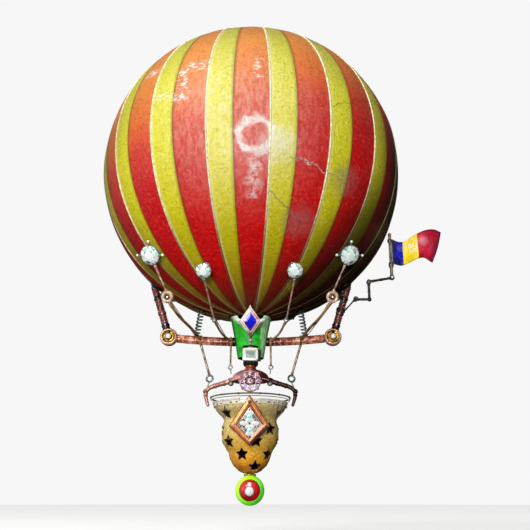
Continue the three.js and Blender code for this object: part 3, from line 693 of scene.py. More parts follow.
def envelopeSkin():
    paint = Paint("envelope_skin")
    x, y, z = (paint.axis(letter) for letter in "XYZ")
    red, gore = envelope["redDegrees"], 360 / envelope["gores"]
    degrees = paint.maths("ARCTAN2", x, -y) * (180 / math.pi)
    share = paint.maths("FRACT", (degrees - envelope["turn"] - red / 2 + 720) / gore)
    girth = paint.maths("SQRT", x * x + y * y) * math.radians(gore)
    fromRight = abs(share - (1 - red / gore)) * girth
    fromLeft = paint.maths("MINIMUM", share, 1 - share) * girth
    isYellow = share < 1 - red / gore

    clouds = paint.grain(1.1, 4.0, distortion=0.4)
    level = (z + 6) / 12 + 0.05 * (clouds - 0.5)
    # red turns orange towards the top; both colours darken towards the mouth, and the red a little to the right:
    # painted shade
    redPart = paint.ramp(level - 0.022 * x, {
        0.0: (124, 30, 8), 0.05: (170, 14, 6), 0.12: (226, 2, 4), 0.26: (214, 2, 8), 0.4: (208, 20, 26),
        0.5: (216, 62, 42), 0.6: (230, 116, 46), 0.76: (242, 156, 66), 1.0: (206, 128, 60)})
    yellowPart = paint.ramp(level, {
        0.0: (150, 88, 10), 0.05: (188, 150, 12), 0.12: (206, 190, 6), 0.26: (222, 212, 6), 0.4: (226, 220, 30),
        0.6: (226, 222, 56), 0.76: (214, 208, 72), 1.0: (172, 164, 84)})
    colour = paint.mix(isYellow, redPart, yellowPart)
    layer = lambda amount, tone: paint.mix(amount, colour, tone)

    # hide grain: fine cells, small creases and paler rubbed places
    leather = paint.cells(12.0, "SMOOTH_F1", paint.vectors("ADD", paint.place, paint.grain(6.0, 2.0, 0.5, outlet="Color")))
    fine = paint.grain(30.0, 4.0)
    rubbed = paint.fit(paint.grain(2.6, 5.0, 0.65, distortion=1.0), 0.55, 0.8)
    grit = paint.grain(9.0, 4.0, 0.7)
    colour = layer(paint.fit(grit, 0.5, 0.7) * 0.5, paint.mix(isYellow, (110, 8, 10), (150, 138, 20)))
    # paler specks of the grain, fewer towards the mouth: partly texture, partly a painted highlight on the grain
    colour = layer(paint.fit(grit, 0.47, 0.32) * paint.fit(z, -5.0, -2.0, 0.12, 0.4),
                   paint.mix(isYellow, (246, 120, 96), (250, 246, 150)))
    colour = layer(rubbed * 0.16, paint.mix(isYellow, (236, 96, 88), (246, 244, 170)))
    # a painted sheen on the belly: strongest a little above the middle, streaked down the gores
    streaks = paint.fit(paint.grain(3.0, 5.0, 0.6, paint.squeezed(2.4, 2.4, 0.9)), 0.36, 0.64)
    paintedSheen = paint.spot((-0.5, -5.9, -0.4), 2.2, 2.0) * (0.35 + 0.65 * streaks)
    colour = layer(paintedSheen * (0.32 + 0.1 * isYellow), (255, 238, 214))

    # a painted shadow as a soft dark line on the right edge of each yellow gore, and a paler band beside the piping
    colour = layer(paint.fit(fromRight, 0.0, 0.13, 1.0, 0.0) * 0.42, (84, 62, 10))
    colour = layer(paint.fit(fromLeft, 0.03, 0.15, 1.0, 0.0) * isYellow * 0.45, (244, 242, 190))

    # scuffs, runs and scratches on the front, and glow: a painted highlight beside them
    drift = paint.vectors("SUBTRACT", paint.grain(3.2, 5.0, 0.5, outlet="Color"), (0.5, 0.5, 0.5))
    torn = paint.vectors("ADD", paint.place, paint.vectors("MULTIPLY", drift, (0.55, 0.55, 0.55)))
    patchy = paint.fit(paint.grain(5.5, 5.0, 0.7), 0.38, 0.62)
    ring = paint.spot((0.24, -5.88, -1.13), 0.68, 0.10, torn) * (1 - paint.spot((0.24, -5.88, -1.11), 0.43, 0.10, torn))
    ring = ring * (0.6 + 0.4 * patchy)
    # displaced points go back onto the ball, so that thin marks hold together
    torn = paint.stretch(paint.vectors("NORMALIZE", torn), envelope["radius"])
    stroke = lambda start, end, width, soft: paint.stroke(start, end, width, soft, torn, envelope["radius"])
    runs = stroke((0.3, -5.71, -1.8), (0.12, -5.26, -2.9), 0.2, 0.16) * patchy
    glow = paint.spot((0.95, -5.68, -1.4), 0.52, 0.42, torn) * (0.5 + 0.5 * patchy)
    scratch = stroke((1.3, -5.59, -1.74), (3.3, -4.5, -2.15), 0.024, 0.024) * patchy * patchy
    crease = paint.most(stroke((0.68, -5.22, -2.88), (1.7, -4.45, -3.6), 0.035, 0.03),
                        stroke((1.4, -5.52, -1.78), (3.5, -4.35, -2.22), 0.022, 0.02))
    smudge = paint.spot((1.7, -4.42, -3.66), 0.5, 0.4, torn) + paint.spot((3.3, -4.5, -2.2), 0.5, 0.4, torn)
    flecks = 0.0
    for start, end, wide in envelope["flecks"]:
        flecks = flecks + stroke(start, end, wide, 0.12)
    flecks = flecks * paint.fit(paint.grain(6.5, 4.0, 0.65, paint.squeezed(0.8, 0.8, 1.6)), 0.5, 0.56)
    nick = paint.most(stroke((1.06, -5.9, -0.15), (2.9, -5.24, 0.35), 0.012, 0.012) * 0.35,
                      stroke((2.9, -5.24, 0.35), (4.6, -3.55, 1.5), 0.02, 0.016) * 0.75)
    white = paint.most(ring * 0.95, glow * 0.6, runs * 0.6, scratch * 0.7, flecks)
    colour = layer(white, (244, 240, 234))
    colour = layer(paint.most(smudge * 0.6 * (0.4 + 0.6 * patchy), crease * 0.7), (142, 122, 116))
    colour = layer(nick, (60, 20, 16))
    # painted shade: darker towards the low right and left, and round behind the widest part
    shadeJitter = 0.06 * (clouds - 0.5)
    paintedShadeRight = paint.most(paint.fit(0.105 * x - 0.095 * z + shadeJitter, 0.55, 0.78) * 0.88,
                       paint.fit(0.17 * x - 0.03 * z, 0.79, 0.98) * 0.9)
    paintedShadeLeft = paint.fit(0.09 * y - 0.095 * x - 0.1 * z + shadeJitter, 0.33, 0.66) * 0.46
    girdle = paint.fit(-0.151 * y - 0.0705 * z, 0.3, 0.74, 1.0, 0.0) * paint.fit(z, -0.5, 3.2, 1.0, 0.3) * 0.5
    colour = layer(paint.most(girdle, paintedShadeLeft), (70, 18, 3))
    colour = layer(paintedShadeRight, (26, 10, 2))

    gloss = 0.42 + 0.22 * paint.fit(fine, 0.3, 0.8) + 0.2 * white
    return paint.finish(colour, gloss, leather * 0.3 + fine * 0.2 + grit * 0.5, 0.13, 1.0, glint=0.12,
                        coat=paint.fit(z, -4.6, -1.6, 0.0, 0.16), coatRoughness=0.3)


def latitudes(mouth, crown):
    # the angles from the lowest point at which a ring and a cap of these radii lie
    return math.asin(mouth / envelope["radius"]), math.pi - math.asin(crown / envelope["radius"])


def makeEnvelope():
    red, gore = envelope["redDegrees"], 360 / envelope["gores"]
    columns = []
    for number in range(envelope["gores"]):
        start = number * gore - red / 2 + envelope["turn"]
        for steps, first, wide in ((envelope["redSteps"], start, red), (envelope["yellowSteps"], start + red, gore - red)):
            for step in range(steps):
                t = step / steps
                columns.append((math.radians(first + wide * t), 4 * t * (1 - t) * wide / red))
    low, high = latitudes(envelope["mouth"], envelope["crown"])
    profile = [low + (high - low) * row / envelope["rows"] for row in range(envelope["rows"] + 1)]
    rings = []
    for a, inset in [(a, 0.0) for a in profile] + [(a, envelope["thickness"]) for a in profile[::-1]]:
        ring = []
        for turn, swell in columns:
            r = envelope["radius"] - inset + envelope["bulge"] * swell * min(1.0, 6 * math.sin(a) ** 2)
            ring.append((r * math.sin(a) * math.sin(turn), -r * math.sin(a) * math.cos(turn), -r * math.cos(a)))
        rings.append(ring)
    skin = Form()
    skin.skin(rings, closed=True)
    skin.piece("envelope_skin", "envelope_skin", "envelope", envelopeSkin(), soft=60)


def cordThread(name, light, dark, lowColour):
    # pale thread above, darker towards the mouth, with painted shade at the sides and the low right
    paint = Paint(name)
    x, z = paint.axis("X"), paint.axis("Z")
    twist = paint.grain(9.0, 4.0)
    colour = paint.mix(paint.fit(twist, 0.35, 0.6), dark, light)
    colour = paint.mix(paint.fit(z + 0.6 * (twist - 0.5), -5.0, -2.2, 0.96, 0.0), colour, lowColour)
    shade = paint.most(paint.fit(abs(x), 4.5, 5.6), paint.fit(0.105 * x - 0.095 * z, 0.52, 0.76))
    colour = paint.mix(shade * 0.86, colour, scaled(lowColour, 0.16))
    return paint.finish(colour, 0.4 + 0.2 * twist, twist, 0.004, glint=0.2)


def meridianCords():
    # cords laid over the seams: an arc from mouth to crown, repeated round the balloon
    recipe = Recipe("meridian_cords")
    count, = recipe.inputs("Count", "Int")
    radius, thickness, start, sweep, turn = recipe.inputs("Radius Thickness Start Sweep Turn")
    arc = {"Resolution": 72, "Radius": radius, "Start Angle": start, "Sweep Angle": sweep}
    arc = recipe.node("GeometryNodeCurveArc", arc, "Curve", mode="RADIUS")
    # the arc lies in XY: it is stood up so that it starts low, in front
    stood = recipe.moved(arc, Rotation=(math.pi / 2, 0.0, 0.0))
    recipe.serve(recipe.around(recipe.tube(stood, recipe.circle(thickness, 8)), count, turn))
    low, high = latitudes(envelope["cordMouth"], envelope["cordCrown"])
    low += 0.012
    half, middle = (math.radians(a) for a in (envelope["redDegrees"] / 2, envelope["turn"]))
    piping = cordThread("cream_piping", (244, 240, 208), (196, 186, 120), (112, 72, 14))
    seam = cordThread("dark_seam", (150, 100, 30), (110, 66, 16), (70, 32, 8))
    for name, thick, place, finish in (("gore_piping", envelope["cord"], middle + half, piping),
                                       ("gore_seams", envelope["seamCord"], middle - half, seam)):
        mesh = recipe.make(name, finish, Count=envelope["gores"], Radius=envelope["radius"] + 0.004, Thickness=thick,
                           Start=low - math.pi / 2, Sweep=high - low, Turn=place - math.pi / 2)
        settle(mesh, name, soft=50)


makeEnvelope()
meridianCords()

print("crown and mouth")
# for each row of small domes: count, radius, height, size, tilt
rivets = {"crown_rivets": (18, 0.385, 6.036, 0.022, 0.3), "mouth_rivets": (30, 0.745, -6.03, 0.022, 0.0),
          "dome_beads": (44, 0.712, -8.45, 0.026, math.pi / 2)}


def rivetRow(name, material):
    recipe = Recipe("rivets")
    count, = recipe.inputs("Count", "Int")
    radius, height, size, tilt = recipe.inputs("Radius Height Size Tilt")
    flat = recipe.moved(recipe.dome(size, 10, 6), Scale=(1.0, 1.0, 0.7))
    tipped = recipe.moved(flat, Rotation=recipe.vector(y=tilt), Translation=recipe.vector(radius, 0.0, height))
    recipe.serve(recipe.around(tipped, count))
    values = dict(zip(("Count", "Radius", "Height", "Size", "Tilt"), rivets[name]))
    settle(recipe.make(name, material, **values), name, soft=60)


def crownAndMouth():
    crown, mouth = Form(), Form()
    crown.ease([(0, 6.19), (0.06, 6.175), (0.08, 6.13), (0.06, 6.085), (0.11, 6.065), (0.33, 6.05), (0.43, 6.022),
                (0.43, 6.001), (0, 6.018)], 0.012, 64, bends=3)
    crown.piece("crown_cap_cast", "gilt", "crown_cap", gilt)
    rivetRow("crown_rivets", gilt)
    # the mouth ring and its rivets: brass darkened as painted shade under the envelope
    mouth.ease([(0.56, -6.03), (0.8, -6.03), (0.812, -6.008), (0.8, -5.972), (0.62, -5.972), (0.604, -5.94), (0.56, -5.94)],
               0.01, 72, bends=3, closed=True)
    mouth.piece("mouth_ring_cast", "gilt", "mouth_ring", shadedBrass)
    rivetRow("mouth_rivets", shadedBrass)


crownAndMouth()

print("studs and stays")
studs = {"large": {"at": (3.565, -2.69, -4.26), "gem": 0.375, "beads": 3},
         "small": {"at": (1.59, -3.226, -5.0), "gem": 0.285, "beads": 0}}
setting = {"rise": 0.262, "lean": Vector((0.0, -0.95, -0.3)), "claws": 8,
           "claw": ((0.9, -0.05), (1.0, 0.0), (0.94, 0.056), (0.76, 0.09))}
stay = {"wire": 0.034, "rearWire": 0.02, "strands": 3, "pitch": 0.11, "turnSteps": 9, "ferrule": 0.11,
        "outerRod": 0.052, "innerRod": 0.043, "eyelet": 0.17, "eyeletTube": 0.062, "bead": 0.095,
        "outerX": 1.93, "innerX": 0.77, "rearX": {"large": 2.05, "small": 0.86}}
bar = {"middle": -6.95, "end": -6.77, "reach": 3.18, "radius": 0.162, "blocks": 9, "blockSteps": 12,
       "from": 0.664, "to": 2.846, "shoe": 0.662, "cuff": 2.806}


def barHeight(x):
    return bar["middle"] + (bar["end"] - bar["middle"]) * (x / bar["reach"]) ** 2


def studPlace(stud):
    # the stone's middle and the way it faces: it leans from the skin's normal towards the front
    normal = Vector(stud["at"]).normalized()
    return normal, normal * (envelope["radius"] + setting["rise"]), (normal + setting["lean"]).normalized()


def studForm(stud):
    made = Form()
    (normal, middle, way), gem = studPlace(stud), stud["gem"]
    foot = [(0, -0.004), (0.65 * gem, -0.004), (0.66 * gem, 0.014), (0.58 * gem, 0.028), (0.32 * gem, 0.05),
            (0.27 * gem, 0.07), (0.31 * gem, 0.09), (0.25 * gem, 0.115), (0.28 * gem, 0.19), (0, 0.19)]
    made.ease(foot, 0.008, 48, normal * (envelope["radius"] + 0.006), normal)
    basket = [(0, -0.12), (0.5 * gem, -0.1), (0.82 * gem, -0.062), (0.97 * gem, -0.03), (gem, -0.004),
              (0.985 * gem, 0.016), (0.93 * gem, 0.02), (0.88 * gem, 0.0), (0.5 * gem, -0.06), (0, -0.06)]
    made.ease(basket, 0.008, 64, middle, way)
    made.brilliant(middle + way * 0.016, way, 0.945 * gem, 0.1, 0.07, 1, math.pi / 8)
    turn = front.rotation_difference(way)
    for c, s in roundabout(setting["claws"]):
        out = turn @ Vector((c, 0, s)) * gem
        claw = [middle + out * reach + way * rise for reach, rise in setting["claw"]]
        made.sweep(flowing(claw, 8), swelling(0.024, fall=0.009), 8)
    for c, s in roundabout(4)[:stud["beads"]]:
        out = turn @ Vector((c, 0, s)) * gem
        made.sweep([middle + out * share for share in (0.9, 1.1, 1.3)], swelling(0.024, fall=0.008), 10)
        made.ball(middle + out * 1.36, 0.052, 16, 2)
        made.ring(middle + out * 1.25, 0.022, 0.011, out, 16, 8)
    return made


def studEdge(size, target):
    _, middle, way = studPlace(studs[size])
    out = Vector(target) - middle
    out -= way * out.dot(way)
    return middle + out.normalized() * (studs[size]["gem"] + 0.026)


def twistedWire(made, start, end, radius):
    # strands wound round each other, with a ferrule at each end
    start, end = Vector(start), Vector(end)
    place, length = frameAlong(start, end - start), (end - start).length
    steps = int(length / stay["pitch"] * stay["turnSteps"])
    for strand in range(stay["strands"]):
        path = []
        for step in range(steps + 1):
            a = 2 * math.pi * (step / stay["turnSteps"] + strand / stay["strands"])
            path.append(place @ Vector((0.5 * radius * math.cos(a), 0.5 * radius * math.sin(a), length * step / steps)))
        made.sweep(path, radius * 0.54, 5)
    cuff = (end - start).normalized() * stay["ferrule"]
    made.rod(start, start + cuff, radius * 1.5, 12, 1, 0.01)
    made.rod(end - cuff, end, radius * 1.5, 12, 1, 0.01)


def outerStay():
    made = Form()
    eye, facing = Vector((3.0, -2.2, -5.74)), Vector((0.1, -0.95, -0.3))
    twistedWire(made, studEdge("large", eye), (3.025, -2.21, -5.56), stay["wire"])
    made.ring(eye, stay["eyelet"], stay["eyeletTube"], facing, 48, 14, 1)
    made.ring(eye, 0.113, 0.03, facing, 40, 10, 2)
    made.ease([(0, -0.03), (0.13, -0.03), (0.13, 0.012), (0.08, 0.02), (0.07, 0.034), (0.055, 0.03), (0.05, 0.004), (0, 0.0)],
              0.006, 40, eye, facing, 3)
    made.ball(eye + facing.normalized() * 0.012, 0.04, 20, 5, 0.7, facing)
    rod, x = stay["outerRod"], stay["outerX"]
    path = flowing([(2.92, -2.15, -5.95), (2.62, -1.75, -6.33), (2.2, -0.9, -6.64), (x, -0.232, barHeight(x))], 40)
    made.sweep(path, swelling(rod, (0.32 * rod, 0.06, 0.03), (0.3 * rod, 0.95, 0.03)), 14, 4)
    return made


def innerStay():
    made = Form()
    bead = Vector((1.34, -1.2, -6.37))
    twistedWire(made, studEdge("small", bead), (1.345, -1.24, -6.35), stay["wire"])
    made.ball(bead, stay["bead"], 24, 1)
    made.ring(bead, stay["bead"] * 0.96, 0.014, (0.1, -0.4, 1), 28, 8, 1)
    rod, x = stay["innerRod"], stay["innerX"]
    path = flowing([(1.33, -1.16, -6.4), (1.08, -0.64, -6.76), (x + 0.01, -0.226, barHeight(x))], 26)
    made.sweep(path, swelling(rod, (0.35 * rod, 0.12, 0.04), (0.3 * rod, 0.93, 0.04)), 12, 2)
    return made


def rearStay(size):
    # made in front, as the others are, and mirrored to the back
    made = Form()
    x = stay["rearX"][size]
    clamp = Vector((x, -0.208, barHeight(x)))
    twistedWire(made, studEdge(size, clamp + above * 0.04), clamp + above * 0.04, stay["rearWire"])
    made.ease([(0, -0.02), (0.034, -0.02), (0.04, -0.008), (0.034, 0.006), (0.04, 0.02), (0.038, 0.045), (0.02, 0.06),
               (0, 0.06)], 0.005, 20, clamp, finish=2)
    return made


def studsAndStays():
    gems = {size: studForm(stud) for size, stud in studs.items()}
    stays = {"front": {"large": outerStay(), "small": innerStay()}, "rear": {size: rearStay(size) for size in studs}}
    metals = {"large": (paleWire, eyeletCream, gilt, plumSteel, brassWire, whiteStone),
              "small": (paleWire, silver, brassWire)}
    for end, flip in (("front", still), ("rear", Matrix.Diagonal((1, -1, 1, 1)))):
        for side, mirror in sides.items():
            for size, word in (("large", "outer"), ("small", "inner")):
                place = f"{end}_{side}"
                gem, rod = gems[size].placed(mirror @ flip), stays[end][size].placed(mirror @ flip)
                gem.piece(f"gem_stud_{size}_{place}", "clear_gem", f"stud_{size}_{place}", silver, clearStone,
                          whiteStone, soft=24)
                rod.piece(f"stay_rod_{word}_{place}", "brass_wire", f"{word}_stay_{place}", *metals[size])


studsAndStays()


def saddle(made, x, inner, outer, wide):
    profile = [(inner - 0.014, -wide / 2), (outer - 0.008, -wide / 2), (outer, -wide / 4), (outer - 0.01, 0),
               (outer, wide / 4), (outer - 0.008, wide / 2), (inner - 0.014, wide / 2)]
    made.ease(profile, 0.006, 40, (x, 0, barHeight(x)), (1, 0, 0), 2, closed=True)


def hangers():
    # a saddle over the bar, a rod, and the ring that carries the yoke
    outer, inner = Form(), Form()
    x = stay["outerX"]
    saddle(outer, x, 0.178, 0.204, 0.09)
    knobs = swelling(0.046, (0.012, 0.03, 0.02), (0.012, 0.96, 0.02))
    outer.sweep(straight((x - 0.008, 0, barHeight(x) - 0.184), (1.57, 0, -8.235), 40), knobs, 14, 1)
    outer.ring((1.56, 0, -8.36), 0.122, 0.038, (0.2, -1, 0.1), 40, 12)
    outer.ball((1.57, -0.002, -8.235), 0.052, 16)
    outer.sweep(flowing([(1.57, 0, -8.475), (1.585, -0.02, -8.56), (1.628, 0, -8.662)], 8), 0.022, 10)
    outer.pair("hanger_rod_outer", "silver", "outer_hanger", ringSteel, rodBrown, brassWire)
    x = stay["innerX"]
    saddle(inner, x, 0.176, 0.200, 0.07)
    knobs = swelling(0.035, (0.01, 0.05, 0.03), (0.01, 0.95, 0.03))
    inner.sweep(straight((x, 0, barHeight(x) - 0.182), (0.774, 0, -7.85), 24), knobs, 12, 1)
    inner.ring((0.774, 0, -7.926), 0.072, 0.026, (0, 1, 0), 32, 10)
    inner.sweep([(0.77, 0, -7.99), (0.757, 0, -8.08), (0.742, 0, -8.18)], 0.018, 8)
    inner.pair("hanger_rod_inner", "silver", "inner_hanger", ringSteel, rodBrown, brassWire)


hangers()

print("frame")
arm = {"top": Vector((3.82, 0, -4.76)), "corner": Vector((3.18, 0, -6.75)), "radius": 0.14, "bands": (0.08, 0.36, 0.7),
       "bandWide": 0.09, "studRows": 15, "studsRound": 10, "studSize": 0.021, "foot": 0.332, "head": 0.06,
       "padBolts": 10, "jointBolts": 24}
arm["way"] = (arm["top"] - arm["corner"]).normalized()
spring = {"x": 1.94, "footX": 2.092, "coil": 0.096, "wire": 0.033, "turns": 7.0}


def studdedArm():
    # small domed studs round a tapering rod, in staggered rows
    recipe = Recipe("arm_studs")
    rows, around = recipe.inputs("Rows Round", "Int")
    radius, length, size = recipe.inputs("Radius Length Size")
    number = recipe.count()
    row = recipe.maths("FLOOR", (number + 0.01) / around)
    angle = (number - row * around + 0.5 * recipe.maths("MODULO", row, 2.0)) * 2 * math.pi / around
    where = recipe.vector(recipe.maths("COSINE", angle) * radius, recipe.maths("SINE", angle) * radius,
                          (row + 0.5) / rows * length)
    return recipe.serve(recipe.stand(recipe.line(rows * around, where), recipe.dome(size, 6, 4)))


def sideArms():
    way, radius, wide = arm["way"], arm["radius"], arm["bandWide"]
    foot = arm["corner"] + way * arm["foot"]
    length = (arm["top"] + way * arm["head"] - foot).length
    profile = [(0, 0), (radius + 0.012, 0), (radius + 0.012, 0.05), (radius - 0.004, 0.07)]
    for share in arm["bands"]:
        z, half = share * length, wide / 2
        profile += [(radius + rise, z + reach) for rise, reach in (
            (-0.004, -half - 0.012), (0.014, -half - 0.006), (0.022, -half / 2), (0.022, half / 2), (0.014, half + 0.006),
            (-0.004, half + 0.012))]
    profile += [(radius - 0.004, length), (0, length)]
    # dark bands low and high, the middle one plain, the head paler
    dark = lambda n, r, z: n < 3 or (r > radius and abs(z / length - arm["bands"][1]) > 0.06)
    finish = [1 if dark(n, r, z) else (4 if z > 0.74 * length else 0) for n, (r, z) in enumerate(profile)]
    one = Form()
    one.turn(profile, 40, foot, way, finish)
    inward = arm["top"].normalized()
    seat = inward * envelope["radius"]
    one.ease([(0, 0.004), (0.3, 0.004), (0.3, 0.03), (0.27, 0.055), (0.22, 0.07), (0.2, 0.115), (0.16, 0.13), (0, 0.13)],
             0.008, 48, seat, inward, 1)
    for c, s in roundabout(arm["padBolts"]):
        one.ball(frameAlong(seat, inward) @ Vector((0.262 * c, 0.262 * s, 0.05)), 0.02, 10, 2, 0.6, inward)
    one.ball(foot + way * 0.16 + front * (radius + 0.012), 0.034, 16, 3)
    one.ring(foot + way * 0.16 + front * (radius + 0.004), 0.036, 0.01, front, 24, 8, 2)
    one.pair("studded_arm", "bronze", "side_arm", bronze, blackSteel, redCopper, whiteStone, roseBronze, soft=40)
    recipe = studdedArm()
    for side, mirror in sides.items():
        dots = recipe.make("arm_studs", duskyRose, Rows=arm["studRows"], Round=arm["studsRound"], Radius=radius - 0.002,
                           Length=length - 0.16, Size=arm["studSize"])
        dots.transform(mirror @ frameAlong(foot + way * 0.12, way))
        settle(dots, f"arm_studs_{side}", soft=60)


sideArms()


def cornerJoints():
    centre = arm["corner"]
    one, pearl = Form(), Form()
    rows = rounded([(0, -0.17), (0.30, -0.17), (0.33, -0.15), (0.33, -0.09), (0.315, -0.075), (0.33, -0.06), (0.33, 0.10),
                    (0.318, 0.13), (0.29, 0.165), (0.27, 0.175), (0.25, 0.165), (0.232, 0.135), (0.225, 0.11), (0.19, 0.10),
                    (0.185, 0.09), (0, 0.09)], 0.01, 2)
    one.turn(rows, 72, centre, front, [1 if r < 0.262 and z > 0 else 0 for r, z in rows])
    one.ring(centre + front * 0.105, 0.165, 0.028, front, 56, 10, 1)
    one.ring(centre + front * 0.11, 0.118, 0.016, front, 48, 8, 2)
    one.ball(centre + front * 0.13 + above * 0.17, 0.058, 20, 3, 0.7, front)
    one.ball(centre + front * 0.13 - above * 0.19, 0.045, 18, 2, 0.6, front)
    for c, s in roundabout(arm["jointBolts"]):
        one.ball(centre + Vector((0.333 * c, -0.02, 0.333 * s)), 0.02, 8, 1)
    one.pair("ring_joint", "rose_gilt", "corner_joint", roseGilt, oldGold, redCopper, blackSteel)
    pearl.ball(centre + front * 0.197, 0.105, 40)
    pearl.pair("set_pearl", "white_gem", "corner_pearl", whiteStone, soft=60)


cornerJoints()


def barCopper():
    # copper that darkens towards the funnel: painted shade under the bell
    paint = Paint("bar_copper")
    cloud = paint.grain(5.0, 4.0, distortion=0.6)
    fine = paint.grain(60.0, 2.0)
    away = abs(paint.axis("X"))
    colour = paint.ramp(cloud + 0.07 * (away - 1.7), {0.34: (96, 42, 28), 0.46: (172, 88, 60), 0.56: (214, 136, 104),
                                                      0.68: (246, 210, 190)})
    colour = paint.mix(paint.fit(away, 0.7, 1.9, 0.75, 0.0), colour, (92, 30, 22))
    return paint.finish(colour, 0.34 + 0.2 * fine, fine * 0.5 + cloud * 0.5, 0.004, metallic=0.4)


def barRecipe():
    # blocks strung along the curved bar, eight folds round, waisted at each joint
    recipe = Recipe("bar_blocks")
    blocks, steps = recipe.inputs("Blocks Steps", "Int")
    start, end, middle, rise, reach, radius = recipe.inputs("Start End Middle Rise Reach Radius")
    notched = lambda share, deep: recipe.maths("SUBTRACT", 1.0, recipe.maths("MINIMUM", share, 1 - share) * deep, clamp=True)
    share = recipe.count() / (blocks * steps)
    x = start + (end - start) * share
    z = middle + rise * (x / reach) * (x / reach)
    path = recipe.node("GeometryNodeMeshToCurve", {"Mesh": recipe.line(blocks * steps + 1.0, recipe.vector(x, 0.0, z))})
    groove = notched(recipe.maths("FRACT", share * blocks + 0.0001), 6.0)
    sized = recipe.node("GeometryNodeSetCurveRadius", {"Curve": path, "Radius": 1 - 0.2 * groove})
    notch = notched(recipe.maths("FRACT", (recipe.count() + 0.01) / 8.0), 7.0)
    place = recipe.stretch(recipe.node("GeometryNodeInputPosition"), 1.0 - 0.1 * notch)
    section = recipe.node("GeometryNodeSetPosition", {"Geometry": recipe.circle(radius, 48), "Position": place})
    return recipe.serve(recipe.tube(sized, section))


def crossBars():
    recipe, brick, radius = barRecipe(), barCopper(), bar["radius"]
    rise = bar["end"] - bar["middle"]
    for side, mirror in sides.items():
        mesh = recipe.make("bar", brick, Start=bar["from"], End=bar["to"], Blocks=bar["blocks"], Steps=bar["blockSteps"],
                           Middle=bar["middle"], Rise=rise, Reach=bar["reach"], Radius=radius)
        mesh.transform(mirror)
        settle(mesh, f"block_bar_{side}", f"cross_bar_{side}", soft=26)
    bands = Form()
    band = [(0.8 * radius, -0.026), (0.95 * radius, -0.022), (radius, -0.01), (radius, 0.01), (0.95 * radius, 0.022),
            (0.8 * radius, 0.026)]
    for joint in range(1, bar["blocks"]):
        x = bar["from"] + (bar["to"] - bar["from"]) * joint / bar["blocks"]
        bands.turn(band, 40, (x, 0, barHeight(x)), (1, 0, 2 * rise * x / bar["reach"] ** 2))
    # a collar, a dark shoe under the bell's slope that is a painted shadow over the gap to the funnel, and a cuff at
    # the corner
    shoe, cuff = ((x, 0, barHeight(x)) for x in (bar["shoe"], bar["cuff"]))
    bands.ease([(0, 0), (0.178, 0), (0.182, 0.01), (0.178, 0.03), (0.15, 0.042), (0, 0.042)], 0.006, 40, shoe, (1, 0, 0), 1)
    bands.ease([(0, -0.1), (0.15, -0.1), (0.17, -0.04), (0.17, 0.01), (0, 0.01)], 0.008, 40, shoe, (1, 0, 0), 1)
    bands.ease([(0, 0), (0.16, 0), (0.166, 0.02), (0.16, 0.04), (0, 0.04)], 0.008, 40, cuff, (1, 0, 0), 1)
    bands.pair("bar_bands", "copper", "", palePink, blackSteel, soft=40)


crossBars()


def springs():
    # a spiral curve swept by a round section, between two discs
    recipe = Recipe("spring_coil")
    turns, coil, wire, height = recipe.inputs("Turns Coil Wire Height")
    spiral = {"Resolution": 28, "Rotations": turns, "Start Radius": coil, "End Radius": coil, "Height": height}
    recipe.serve(recipe.tube(recipe.node("GeometryNodeCurveSpiral", spiral), recipe.circle(wire, 10)))
    head = Vector((spring["x"], 0, -math.sqrt(envelope["radius"] ** 2 - spring["x"] ** 2) - 0.012))
    foot = Vector((spring["footX"], 0, barHeight(spring["footX"]) + 0.176))
    slant = Matrix.Identity(4)
    slant[0][2] = (head.x - foot.x) / (head.z - foot.z)
    for side, mirror in sides.items():
        mesh = recipe.make("coil", ringSteel, Turns=spring["turns"], Coil=spring["coil"], Wire=spring["wire"],
                           Height=head.z - foot.z - 0.09)
        mesh.transform(mirror @ Matrix.Translation(foot + above * 0.04) @ slant)
        settle(mesh, f"coil_spring_{side}", f"spring_{side}", soft=50)
    ends = Form()
    ends.ease([(0, -0.064), (0.12, -0.064), (0.12, -0.024), (0.08, 0.012), (0, 0.012)], 0.008, 32, head)
    ends.ease([(0, -0.016), (0.098, -0.016), (0.098, 0.03), (0.06, 0.05), (0, 0.05)], 0.008, 32, foot)
    ends.pair("spring_ends", "dark_steel", "", blackSteel)


springs()

print("throat")
throat = {"topRadius": 0.79, "topZ": -6.036, "lowRadius": 0.50, "lowZ": -7.59, "wall": 0.02, "notchHalf": 0.62,
          "notchTop": -5.9, "notchFoot": -6.84, "window": (0.286, -7.91, -7.188), "rimZ": -6.04, "lapel": (-6.64, -6.034),
          "broochTop": (0.0, -1.405, -5.966), "broochLean": (0.607, 0.887),
          "links": [(0, -0.748, -6.968), (0, -0.722, -7.03), (0, -0.672, -7.15), (0, -0.6, -7.226), (0, -0.42, -7.232)]}


def broochCream(name, *shades):
    # cream or rose, deeper down the right side and plum at the lowest tip: painted shade
    paint = Paint(name)
    x, z = paint.axis("X"), paint.axis("Z")
    cloud = paint.grain(7.0, 4.0, distortion=0.6)
    fine = paint.grain(50.0, 2.0)
    colour = paint.ramp(cloud - 0.25 * x + 0.25 * (z + 6.45), dict(zip((0.34, 0.48, 0.62), shades)))
    colour = paint.mix(paint.fit(z + 0.1 * (cloud - 0.5), -6.86, -6.6, 1.0, 0.0) * 0.85, colour, (70, 26, 40))
    return paint.finish(colour, 0.3 + 0.2 * fine, fine, 0.002, 0.5, 0.14, metallic=0.1 * cloud)


def kite(half, top, wide, bottom):
    return [(0, top), (-half, wide), (0, bottom), (half, wide)]


def oblong(half, low, high):
    return [(-half, low), (half, low), (half, high), (-half, high)]


